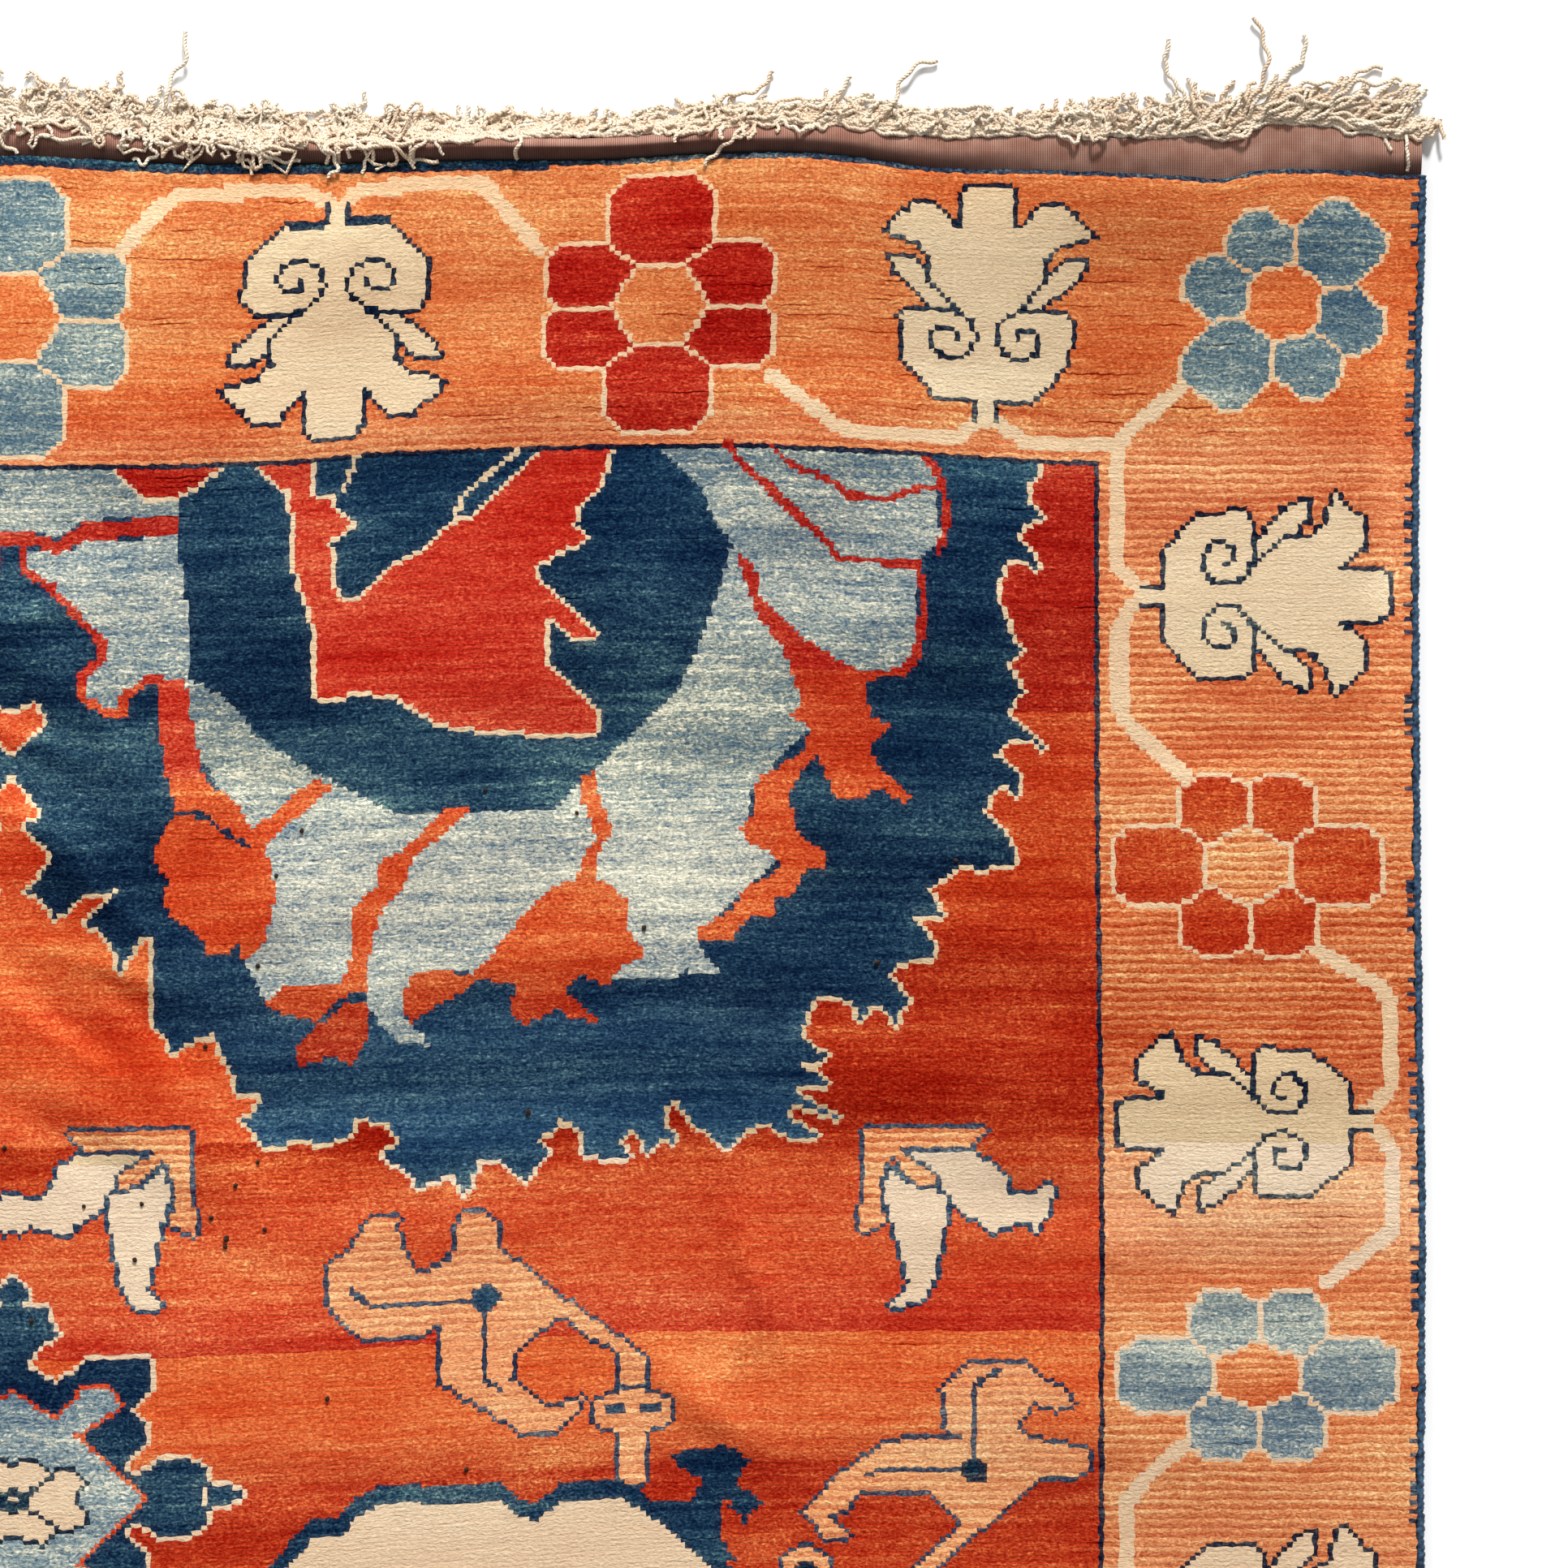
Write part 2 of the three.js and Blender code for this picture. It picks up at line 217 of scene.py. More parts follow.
# Ground colours: the border, the field, and the border's inner guard line
knot(knot_columns > 0, "apricot")
knot((knot_columns < BORDER_COLUMN) & (knot_rows > BORDER_ROW), "navy")
below_guard = knot_rows > BORDER_ROW + 1
knot((knot_columns < BORDER_COLUMN - 1) & below_guard, "field")
field = worked_in("field")

# The large palmette: its flaming edge runs clockwise from the top right
PALMETTE = [
    (0, 61), (202, 61), (202, 64), (199.5, 68, 0.1), (203.5, 74, 0.2), (198, 78, -0.1),
    (202, 86, 0.25), (195, 84), (194, 91, 0.05), (199, 103, 0.1), (196, 106.5), (199, 112, 0.1),
    (196, 116.5), (203, 124, 0.15), (196, 122.5), (193, 125.5, -0.2), (198, 134, 0.3),
    (192, 134, 0.05), (191.5, 138, -0.12), (197, 148.5, 0.1), (191, 150.5), (187.5, 148.5),
    (180, 154.5), (183, 160), (177, 160.5, -0.15), (181, 169.5, 0.2), (172.5, 172.5),
    (176, 178, 0.1), (173.5, 183, 0.1), (169, 178.5), (165.8, 183, 0.3), (163, 177.5),
    (158, 177), (154.5, 185, 0.1), (161, 190), (155, 191.5), (161.5, 196.5), (153.5, 196),
    (154.5, 198), (162.5, 203), (154, 200), (151.3, 202), (158.5, 207), (152.5, 207),
    (148, 204, 0.15), (140, 210.5, 0.15), (134, 205), (130, 198, 0.1), (127.5, 203),
    (130.5, 208, 0.25), (124.5, 210, 0.1), (121.5, 205), (119.5, 207.5), (121.5, 211.5), (112, 210, 0.1),
    (110.5, 203.5), (107.5, 202, -0.1), (103, 206), (105.5, 209.5, 0.12), (101, 215.5),
    (95, 209.5), (91.5, 209.5, -0.05), (88.5, 217.5), (86.5, 212.5), (84, 213.5, 0.1),
    (80, 215.5, 0.08), (71, 207.5, 0.2), (75.8, 205), (73.5, 201), (67, 200, -0.1), (66.5, 203.5),
    (60.5, 205.5, 0.2), (54.5, 205.5), (56.5, 204), (49, 205.5, 0.15), (44.5, 200, 0.1),
    (49.8, 193.5), (44, 194, 0.1), (42, 187.5), (40, 181.3), (36.5, 182), (31.5, 185.3, 0.15),
    (28, 180), (28, 161.3), (25.5, 161.5), (21.5, 167.7, 0.15), (14.3, 158), (20.8, 151.3),
    (14, 152.5, -0.1), (8, 156.7, 0.15), (3, 152), (8.8, 144), (2, 138), (6.3, 135.5), (-1, 125),
    (7.8, 116), (4.5, 110.8, -0.1), (0, 113),
]
palmette = inside(bent(PALMETTE)) & below_guard
knot(palmette, "indigo", "ivory", field)

# Near the middle line the field beside the palmette was worked in a brighter red; its brightness is partly a
# real batch of red and partly painted sheen
BLAZE = {"columns": 58, "from_row": 96, "to_row": 204}
near_middle = (knot_columns < BLAZE["columns"]) & (knot_rows > BLAZE["from_row"])
knot(worked_in("field") & near_middle & (knot_rows < BLAZE["to_row"]), "blaze")

# Light blue leaves that ring it, each with its red vein or edge
SKY_LEAVES = [
    [(0, 61), (20, 61), (23, 65), (26, 67.5), (33, 67.5), (33, 71.7), (25, 71.7), (14, 73), (9, 76.3),
     (5, 74.8), (0, 75)],
    [(3, 78.5), (12, 79), (14, 77.3), (33, 76), (33.5, 82), (35, 94), (35.5, 107), (41, 110.6), (46, 115),
     (47, 118.5), (53, 123), (60, 128), (75, 136.5), (107, 136.5), (120.5, 123), (130.8, 113, 0.03),
     (141.8, 82, -0.04), (136, 71), (127.5, 62), (127.5, 61), (180, 61), (183.5, 66, 0.1),
     (183.5, 80, 0.05), (178.5, 84.5, 0.03), (178.5, 103, -0.15), (168, 108.5, 0.05), (155, 112),
     (157, 121), (150, 128), (145, 134), (145, 143), (151, 148), (144, 154), (134.5, 164), (136, 168.5),
     (139.5, 172), (134, 172), (132, 170.5), (131, 173), (124, 172.5), (118, 172.5), (83, 170), (79, 170.5),
     (76.5, 175), (77, 179.5), (82.5, 185.7), (76, 185), (69, 176), (50, 175.5), (46, 167), (48, 143),
     (36, 122), (34, 108), (29, 106.5), (25, 108), (22, 111), (22, 114), (16, 112.5), (13.5, 109.5),
     (13.5, 106), (18.5, 101), (12, 92), (2.5, 83)],
]
sky = np.zeros(chart.shape, bool)
for leaf in SKY_LEAVES:
    sky |= inside(bent(leaf))
sky &= palmette
knot(sky, "sky")
EMBERS = [
    [(0, 75), (5, 75.5), (9, 77), (14, 73.5), (24, 72.7), (25, 71.7), (33.5, 71.7), (33.5, 76),
     (25, 76), (14, 77.3), (9, 80.3), (5, 78), (0, 77.5)],
    [(29, 106.5), (33.5, 107.3), (34.5, 109), (36, 119), (38, 129), (42, 131.5), (45, 135), (47, 139.5),
     (60, 128.5), (63.3, 131), (50, 142), (52, 153, 0.03), (50, 162), (46, 167), (44.5, 163),
     (42, 165.5), (38.5, 165), (37, 161), (31, 157), (30, 153), (31, 150), (27.5, 145, -0.1), (33, 136),
     (31, 131), (29.3, 120)],
    [(90.5, 136), (86, 140.5), (79.5, 146), (76.5, 153), (73, 156.5), (71, 163), (69.7, 172), (70.3, 183),
     (67, 189), (63, 187), (56, 189.3), (55.5, 185), (61, 180), (54, 178), (50, 176), (54, 171.8),
     (64.5, 172.5), (66.8, 166), (67.5, 156), (71.5, 152.5), (72.5, 147), (79, 143), (86, 136)],
    [(115.5, 128), (115.5, 134), (118.3, 142, 0.1), (115, 149), (115.5, 151.5), (121, 156, 0.12),
     (124.7, 168, 0.1), (117, 174.7), (111.5, 172), (109, 175), (115.3, 181.8), (110, 181), (107, 178.8),
     (101, 182.3), (97.5, 179), (99.5, 173.5), (92, 172), (88.5, 175), (84, 176.8), (78, 181), (76.5, 175),
     (79, 170), (83, 170), (91, 171), (99, 161), (106, 153), (111, 152), (112.5, 147), (115, 143),
     (112, 134), (112.3, 130.5)],
    [(142.5, 83.5), (146, 86), (147.5, 93), (154, 100), (163, 106), (168, 108.5), (175, 107), (178.5, 103),
     (179.5, 104), (176, 108.5), (167.5, 110), (169, 118), (173.7, 119.3), (169, 124), (170, 128),
     (177, 134.5), (175.5, 136), (170.3, 132.5), (168, 135), (162, 135), (158.7, 126), (155, 130),
     (153, 134.5), (154.5, 142), (160.3, 147), (160, 149.5), (156.5, 149.5), (153.5, 155.5), (150, 156),
     (150, 160), (145, 160.3), (141, 165.3), (134.5, 165.5), (135, 162.5), (142, 158.5), (144, 154),
     (150.5, 150.5), (151, 147.8), (144.5, 144), (143.3, 141), (146, 139), (145.5, 134), (147, 130.5),
     (155, 126), (157.3, 120.5), (153, 118), (155.3, 115), (152, 104), (147, 97), (144.5, 90)],
]
for ember in EMBERS:
    knot(inside(bent(ember)), "ember")
# The upper part of the one nearest to the middle line is a clear red
SCARLET_ABOVE = 128
knot(inside(bent(EMBERS[1])) & (knot_rows < SCARLET_ABOVE), "scarlet")
VEINS = [
    ([(2.5, 79), (2.5, 83), (8, 87), (12, 92), (18.3, 99.5), (18, 102.5), (13.7, 106), (13.7, 110.5),
      (19, 114), (22.3, 114), (22.3, 110.7), (27.5, 106.5), (29, 107)], 1.7),
    ([(141, 61), (143, 64.5), (148, 69), (156, 77), (160, 80.5), (163, 84.5), (178.5, 85), (179.5, 92),
      (179, 100), (177.5, 105)], 1.5),
    ([(149.5, 61.5), (153, 65), (160, 67.5), (165, 71), (172, 71.5), (178, 69), (183, 68)], 1.4),
    ([(180, 62.5), (183.5, 67), (184, 76), (182.5, 82)], 1.5),
]
for line, width in VEINS:
    knot(along(line, width), "ember")
knot(along([(33, 135.7), (38, 136), (41, 139), (47, 143)], 1.2), "indigo")
knot(inside([(66, 173.5), (69.8, 173.5), (69.8, 176), (66, 176)]), "indigo")
knot(along([(66, 175), (61, 179.3)], 1.3), "indigo")

# The red heart of the palmette, and the blue leaf that grows down into it
HEART = [
    (48, 61), (118, 61), (117, 66), (115.5, 70), (112, 73), (110.5, 77.5), (113.3, 81), (107.5, 83),
    (103, 86.7), (103, 88), (115.3, 101), (110, 101), (108, 98), (104.5, 96), (105, 102), (104.5, 106),
    (115.5, 117), (115, 121.5), (94, 120), (84, 118), (76, 112.5, -0.03), (67.5, 110.5), (65, 112.5),
    (60.5, 112), (59.5, 96), (56, 83), (55.3, 68), (51.5, 65),
]
LEAF = [
    (60, 61), (60.3, 68.5), (64.5, 68.5), (64.3, 71.5), (68.7, 76), (63.5, 79.5), (64.7, 90.5), (69, 90.5),
    (75, 84.5), (82, 81), (87.3, 75.3), (90, 75.3), (105, 61),
]
heart = inside(bent(HEART)) & below_guard
knot(heart, "scarlet", "ivory", worked_in("indigo"))
leaf = inside(bent(LEAF)) & below_guard
knot(leaf, "indigo", "ivory", worked_in("scarlet"))
knot(along([(68, 61), (66.5, 66), (65, 69)], 1.3), "ivory")
knot(along([(99.5, 62), (91, 69), (88.3, 72), (87.5, 76)], 1.1), "ivory")
small_leaf = inside([(20, 61.5), (42, 61.5), (36, 66), (33, 67.5), (26, 67.7)]) & below_guard
knot(small_leaf, "crimson", "ivory", palmette)

# A pair of trotting motifs below it, mirror images of each other
BRACKET = [
    (11, 200), (36, 200), (36.7, 222.5), (32.3, 220), (33, 212), (31, 205.5), (26, 211.5), (22.5, 212.3),
    (22, 210), (27, 206.5), (29.5, 204.3), (15, 204),
]
BRACKET_CORNER = (36, 200)
LEGS = [
    [(15, 205), (28.5, 205), (22, 210.5), (19, 216), (13.5, 220, 0.05), (12, 222), (4, 219.7), (2.5, 221.7),
     (0, 218), (-1, 211.5), (3, 214), (7.5, 214, 0.1), (10, 208)],
    [(31, 208), (32, 214), (29.5, 224), (27.3, 233), (30.8, 237.7), (25, 237.3), (22.3, 232), (20, 218),
     (20, 214), (27, 212)],
]


def trotting(flip, c, r):
    """One of the pair, with its bracket's outer corner at a knot. flip: 1 as drawn, -1 mirrored."""
    def set_out(points):
        """An outline of the motif in its own place."""
        return bent([(c + flip * (point[0] - BRACKET_CORNER[0]), r + point[1] - BRACKET_CORNER[1], *point[2:])
                     for point in points])

    for leg in LEGS:
        knot(inside(set_out(leg)), "ivory", "denim")
    knot(inside(set_out(BRACKET)), "peach", "denim")


trotting(1, 35, 200.5)
trotting(-1, 167, 205)

# Forked tendrils, worked in rows of peach and orange
TENDRILS = [
    [(76.5, 221), (70, 221.5), (66.5, 227), (62, 230.5), (61.5, 238, 0.05), (69, 246), (80, 246),
     (84.3, 243), (84.3, 256.5), (92, 262), (99.5, 267.7), (106.5, 267.7, 0.05), (112.3, 261), (105, 263.3),
     (97.5, 256.5), (98, 251), (106.5, 244), (109, 244), (114, 249), (118.5, 251.5), (119.5, 262),
     (123.7, 262), (124, 254), (121.5, 251), (106, 238.5), (94.7, 228), (94.7, 223.5), (92, 221),
     (88.5, 221), (87, 223.5), (87.3, 228, -0.15), (80, 233, -0.1), (76.5, 228), (75, 222.7)],
    [(182, 260), (188, 255), (199, 255, 0.08), (207.3, 261), (207.7, 264, -0.15), (200, 262.5, -0.1),
     (196.3, 268), (199, 270.5), (204, 272.3), (211, 272.7), (211.5, 277.5), (208, 279), (201, 279.5),
     (190, 290), (179.5, 300), (175, 300), (186.7, 288.7), (179, 282), (166, 282, -0.1), (160.5, 287.5),
     (164.7, 292), (159.5, 292.3), (158, 290), (155, 286, 0.1), (160.5, 280), (171, 272), (178, 271),
     (186.5, 270.7), (183.5, 269), (183, 262)],
]
for tendril in TENDRILS:
    knot(inside(bent(tendril)), "peach", "denim")
for line in ([(66.5, 236), (70.5, 239.5), (92, 239.3)], [(92.7, 240), (92.5, 256), (95.5, 258.3)],
             [(167, 279), (170, 277.5), (188, 277.5)], [(193, 256.5), (188.5, 260), (188.8, 277)]):
    knot(along(line, 1.2), "denim")
knot(oval(92.7, 239.2, 2.9, 2.9), "denim")
knot(oval(188.8, 277.6, 2.7, 2.5), "navy")
stalk = inside([(119.5, 262), (123.8, 262), (123.8, 279.5), (119.5, 279.5)])
knot(stalk | oval(121.5, 264.6, 8, 4.4), "peach", "denim")
for c in (116, 123.5):
    knot(inside([(c, 262.8), (c + 3.7, 262.8), (c + 3.7, 265.2), (c, 265.2)]), "denim")

# The ivory medallion in the middle of each half, with a cloud at its shoulder
MEDALLION = [
    (102, 287.6), (107, 283.3), (119.5, 283), (131, 292), (138, 299), (145, 308), (148, 318), (157, 328),
    (158, 342), (164, 352), (166, 366), (33, 366), (36, 352), (42, 340), (40, 328), (46, 316), (44, 306),
    (50, 297), (54, 292.5), (58.5, 287.4), (64.3, 287.4), (66.5, 284), (71, 281.2), (95, 282),
]
medallion = inside(MEDALLION)
CLOUD = [
    (127, 284), (133, 284), (135.3, 280), (130, 276.5), (129, 274), (133, 272.7), (136.5, 273),
    (140, 272, 0.1), (145.3, 275), (141.5, 280), (144, 282), (147.3, 285, 0.1), (143.5, 288.8, 0.1),
    (140, 285.5), (142, 283.5), (139, 283.5), (139, 292), (142, 297), (130, 297),
]
MEDALLION_RIM = 4
rim = medallion
for _ in range(MEDALLION_RIM):
    rim = grown(rim)
knot(rim | inside(bent(CLOUD)), "indigo")
knot(medallion, "ivory")
knot(oval(155.5, 298.3, 4.6, 4), "peach", "denim")
knot(oval(155.5, 298.3, 2.2, 1.8), "navy")

# The rosette on the middle line
ROSETTE = [
    (0, 231), (3.3, 234), (2.5, 236.5), (6.5, 236.5, 0.1), (9.5, 243, 0.15), (3, 249.5), (8.5, 253),
    (15.5, 247.5), (27.2, 248.4), (26.8, 255), (23, 258.6), (25.4, 260.9), (26.2, 263.4), (25.2, 266.6),
    (21.6, 269.6), (24, 272.4), (28.4, 269.5), (35, 269.3), (37.6, 271), (38.6, 274.4), (42.6, 275),
    (45.8, 277),
]
SKY_STAR = [
    (0, 254.6), (8.1, 260.6), (14, 253.8), (19, 253.8), (20.8, 257.6), (12, 263.8), (24.6, 276.5),
]
WHITE_LOBES = [
    (0, 270.6), (0.8, 269.6), (3.1, 269), (5.8, 269.6), (7.5, 271.8), (10, 270.3), (12.4, 271.4),
    (13.8, 273.6), (12.1, 275.6), (12.1, 277.2), (14.1, 279.4), (13.5, 282), (11, 283.2), (8.4, 282.4),
    (7.7, 284.3), (6, 285.7), (3.3, 285.2), (0, 283.6),
]
ROSETTE_ROW = 277


def both_ways(points):
    """An outline from its upper half, mirrored at the rosette's middle row."""
    return bent(points) + [(c, 2 * ROSETTE_ROW - r) for c, r in bent(points)[::-1]]


knot(inside(both_ways(ROSETTE)), "indigo", "ivory", worked_in("field"))
knot(inside(both_ways(SKY_STAR)), "sky", "blaze")
knot(inside(WHITE_LOBES), "ivory", "navy")
lobe_veins = thread([(3, 275.4), (7.4, 272.2)]) | thread([(3.6, 279.2), (8.2, 282.2)])
knot(lobe_veins | oval(0, 277, 3.2, 2.7), "navy")
knot(oval(0, 276.5, 0.6, 0.4) | thread([(37.4, 275.6), (37.4, 278.4)]), "ivory")

# The border: its vine, flowers and palmettes
END_PETAL = [(-4.5, 8.5), (-9.8, 14), (-9.8, 24.5), (-6, 28), (6, 28), (9.8, 24.5), (9.8, 14), (4.5, 8.5)]
SIDE_PETAL = [(9.8, 0), (19, 0), (22, 3.5), (22, 10.5), (18.5, 14), (9.8, 14), (4.5, 8.5)]
HEART_RING = [(-4.5, 8.5), (4.5, 8.5), (9.8, 0), (4.5, -8.5), (-4.5, -8.5), (-9.8, 0)]


def flower(c, r, yarn, quarter, scale, turn=0):
    """Six blunt petals around an apricot heart, with a pale line around each."""
    swing = np.array([[np.cos(turn), -np.sin(turn)], [np.sin(turn), np.cos(turn)]])

    def place(points, flip, end):
        """A petal drawn at the top right, set out on either side and at either end."""
        spun = [tuple(swing @ (across * flip, ahead * end)) for across, ahead in points]
        return turned(spun, c, r, quarter, 1, scale)

    ring = place(HEART_RING, 1, 1)
    petals = [place(END_PETAL, 1, end) for end in (1, -1)]
    petals += [place(SIDE_PETAL, flip, end) for flip in (1, -1) for end in (1, -1)]
    knot(inside(ring), "apricot")
    knot(thread(ring + ring[:1]), "vine")
    for petal in petals:
        knot(inside(petal), yarn)
    for petal in petals:
        knot(thread(petal + petal[:1]), "vine")


# A palmette's halves: the head beside its stalk, the body, and an arm with its root in the body
HEAD_OUTLINE = [(2.2, -4), (2.2, 0), (10, 0), (17.8, 7.5), (18.5, 16), (16, 18.5), (6.5, 18.5)]
BODY_OUTLINE = [(6.5, 18.5), (12.4, 23.8), (12.3, 28.5), (15, 31.5), (22.5, 34), (19, 37.5), (15.7, 40.7),
                (11, 40.7), (8.5, 38), (6, 35.3), (6.2, 42.8), (4.3, 44.8), (0, 44.8)]
ARM_OUTLINE = [(12.3, 19), (19.2, 24.6), (21, 27.6), (20.7, 29.4), (17, 29.4), (13, 26.4)]
ARM_ROOT = [(12.8, 24.3), (7.5, 19)]
SCROLL = {"centre": (8, 12.2), "radius": (6.8, 5.9), "turn": 2.5 * math.pi, "shrink": 0.8, "steps": 24}
sweep = np.linspace(0, SCROLL["turn"], SCROLL["steps"])
spiral = [(SCROLL["centre"][0] - share * SCROLL["radius"][0] * np.sin(angle),
           SCROLL["centre"][1] + share * SCROLL["radius"][1] * np.cos(angle))
          for angle, share in zip(sweep, 1 - SCROLL["shrink"] * sweep / SCROLL["turn"])]


def border_palmette(c, r, quarter, scale=(1, 1)):
    """An ivory palmette with dark outlines and a scroll in each half of its head."""
    def place(points, flip):
        """An outline of the right half, set out for either half."""
        return turned(points, c, r, quarter, flip, scale)

    outline = HEAD_OUTLINE + BODY_OUTLINE
    knot(inside(place(outline, 1) + place(outline[::-1], -1)), "ivory")
    for flip in (1, -1):
        arm = place(ARM_OUTLINE, flip)
        knot(inside(arm + place(ARM_ROOT, flip)), "ivory")
        for line in (arm, place(HEAD_OUTLINE, flip), place(BODY_OUTLINE, flip), place(spiral, flip)):
            knot(thread(line), "navy")


VINES = [
    [(20, 20), (27, 11), (32, 6.3), (57, 5.6), (62, 8.5), (64, 9.5)],
    [(64, 9.5), (67, 6), (73, 5), (92, 4.7), (103, 18.5)],
    [(149, 46), (163, 57), (186, 57.5), (189.5, 54.3), (191.5, 52.5), (195, 54.5), (199, 57.2), (218, 57.4)],
    [(217.5, 57), (226, 49), (230, 45.5)],
    [(217.8, 57), (217.8, 84), (221.5, 88), (225.5, 89.7)],
    [(225.5, 90), (221, 92), (218, 97), (218, 116), (221, 120), (231, 130)],
    [(257, 167.5), (269, 175), (270.3, 178), (270.3, 196), (268, 199.5), (264, 202.7)],
    [(264, 203.7), (268.5, 206), (270.3, 210), (270.3, 227), (257, 238)],
    [(229.5, 272.5), (222, 279.5), (218.3, 285), (218, 305), (221, 310), (226, 311.2)],
    [(226, 311.8), (221, 314), (218, 319), (218, 338), (230, 350)],
]
VINE_WIDTH = 3.1
for vine in VINES:
    knot(along(vine, VINE_WIDTH), "vine")
border_palmette(63.3, 12.5, 0)
knot(along([(54.5, 13), (60.3, 13)], 1.9) | along([(67, 12), (73, 12)], 1.9), "navy")
border_palmette(191.2, 49, 2, (0.93, 1.02))
border_palmette(226.2, 90.2, 3)
border_palmette(262, 203.9, 1, (0.87, 1.02))
border_palmette(226.5, 311.5, 3)
flower(0, 32, "azure", 0, (1.04, 0.97))
flower(127, 31, "crimson", 0, (1.04, 0.97))
flower(249.5, 28.5, "azure", 0, (0.86, 0.88), 0.72)
flower(243, 149, "brick", 1, (0.88, 0.95))
flower(244, 257.5, "azure", 1, (0.8, 0.97))
flower(243.5, 366, "brick", 1, (0.88, 0.95))

# Along its edges the pile frays into the dark blue of the side cords and of the last row
side_fray = (0.25 + 0.5 * np.sin(knot_rows * 0.23) * np.sin(knot_rows * 0.071)
             + 0.35 * np.sin(knot_rows * 2.6 + 3 * np.sin(knot_rows * 0.37)) + 0.25 * np.sin(knot_rows * 4.1))
knot(knot_columns > HALF_COLUMNS - side_fray, "indigo")
knot((knot_rows < 1) | ((knot_rows < 2) & (knot_columns < 105)), "navy")


def table_of(heads, *rows):
    """A table as one dictionary a row, under its columns' heads."""
    return [dict(zip(heads.split(), row)) for row in rows]


# The rows and columns of knots run through the carpet as its edges do, in millimetres
PILE_LENGTH = 2970
END_LINE = {"head": 1486, "foot": 1484.5}
SIDES = table_of(
    "y left right",
    (-1485, 1207, 1206),
    (-1100, 1210, 1209),
    (-620, 1206, 1206),
    (-180, 1209, 1210),
    (325, 1207, 1209.5),
    (577, 1210, 1210.5),
    (790, 1209, 1207.5),
    (955, 1206, 1205.5),
    (1250, 1208, 1205.5),
    (1485, 1206, 1211),
)
# Each end, as seen when standing at it. end: where the pile stops. reach: how far the flat-woven band
# goes on. arch: how high it buckles. lip: how high its outer edge stays. fringe and fan: the length of
# the fringe and its lean in degrees. flop: the share of it that has fallen back over the band.
HEAD = table_of(
    "x end reach arch lip fringe fan flop",
    (-1200, 1483, 30, 6, 0, 46, -35, 0.1),
    (-1100, 1487, 33, 4, 0, 44, -15, 0.1),
    (-940, 1481, 28, 8, 2, 38, 8, 0.3),
    (-760, 1486, 24, 11, 3, 36, 12, 0.4),
    (-560, 1490, 30, 5, 0, 40, -6, 0.1),
    (-360, 1484, 22, 13, 5, 35, -12, 0.3),
    (-160, 1489, 30, 6, 1, 42, 4, 0.5),
    (0, 1493, 33, 5, 0, 50, 16, 0.5),
    (130, 1486, 28, 9, 2, 48, 20, 0.72),
    (250, 1485, 22, 12, 6, 34, 20, 0.9),
    (400, 1488, 20, 12, 10, 25, 20, 0.06),
    (520, 1489, 19, 12, 10, 25, 48, 0.02),
    (600, 1494, 22, 13, 6, 27, 56, 0.24),
    (700, 1494, 25, 9, 3, 28, 52, 0.05),
    (790, 1483, 26, 4, 3, 24, 24, 0),
    (900, 1480, 30, 2, 2, 30, 30, 0),
    (1000, 1476, 32, 1.5, 2, 42, 30, 0),
    (1040, 1473, 40, 1.5, 0, 46, 52, 0),
    (1075, 1480, 40, 1.5, 0, 50, 58, 0),
    (1150, 1480, 35, 3, 2, 50, 62, 0),
    (1200, 1476, 30, 5, 3, 38, 66, 0.04),
)
FOOT = table_of(
    "x end reach arch lip fringe fan flop",
    (-1200, 1479, 33, 4, 0, 45, -30, 0.1),
    (-1000, 1484, 28, 8, 2, 38, -8, 0.1),
    (-780, 1488, 24, 11, 5, 36, 10, 0.4),
    (-540, 1482, 31, 5, 0, 42, 4, 0.1),
    (-300, 1486, 27, 9, 3, 40, -10, 0.2),
    (-60, 1490, 33, 4, 0, 46, -4, 0.1),
    (180, 1485, 25, 11, 4, 38, 12, 0.4),
    (420, 1481, 30, 6, 1, 42, 6, 0.1),
    (640, 1487, 22, 12, 6, 36, 16, 0.4),
    (860, 1484, 31, 5, 0, 40, -6, 0.1),
    (1060, 1480, 28, 8, 2, 44, 10, 0.1),
    (1200, 1483, 33, 5, 1, 46, 32, 0.2),
)


def curve(table, place, column):
    """A smooth curve through one column of a table, straight at both ends."""
    at = np.array([row[place] for row in table], float)
    values = np.array([row[column] for row in table], float)
    before = np.concatenate([[2 * at[0] - at[1]], at[:-1]])
    after = np.concatenate([at[1:], [2 * at[-1] - at[-2]]])
    low = np.concatenate([[values[1]], values[:-1]])
    high = np.concatenate([values[1:], [values[-2]]])
    slopes = ((values - low) / (at - before) + (high - values) / (after - at)) / 2

    def line(where):
        """The curve's value at a place."""
        where = np.asarray(where, float)
        left = np.clip(np.searchsorted(at, where, side="right") - 1, 0, len(at) - 2)
        step = at[left + 1] - at[left]
        share = (where - at[left]) / step
        square, cube = share ** 2, share ** 3
        return (values[left] * (2 * cube - 3 * square + 1) + values[left + 1] * (3 * square - 2 * cube)
                + step * (slopes[left] * (cube - 2 * square + share) + slopes[left + 1] * (cube - square)))
    return line


left_edge = curve(SIDES, "y", "left")
right_edge = curve(SIDES, "y", "right")
head_line = curve(HEAD, "x", "end")
foot_line = curve(FOOT, "x", "end")
COLUMNS = 2 * HALF_COLUMNS
ROWS = 2 * HALF_ROWS
END_WAVE_ROWS = 26
BOW = {"depth": 34, "half_width": 620}
# The first guard line waves: how far each stretch of it sits above its row
GUARD_WAVE = [(0, -11), (120, -10), (245, -6.5), (310, 0), (500, 5), (640, 5.5), (780, -0.5), (850, -5),
              (910, -8), (1210, -7)]
GUARD_SPREAD = {"above": 30, "below": 55}


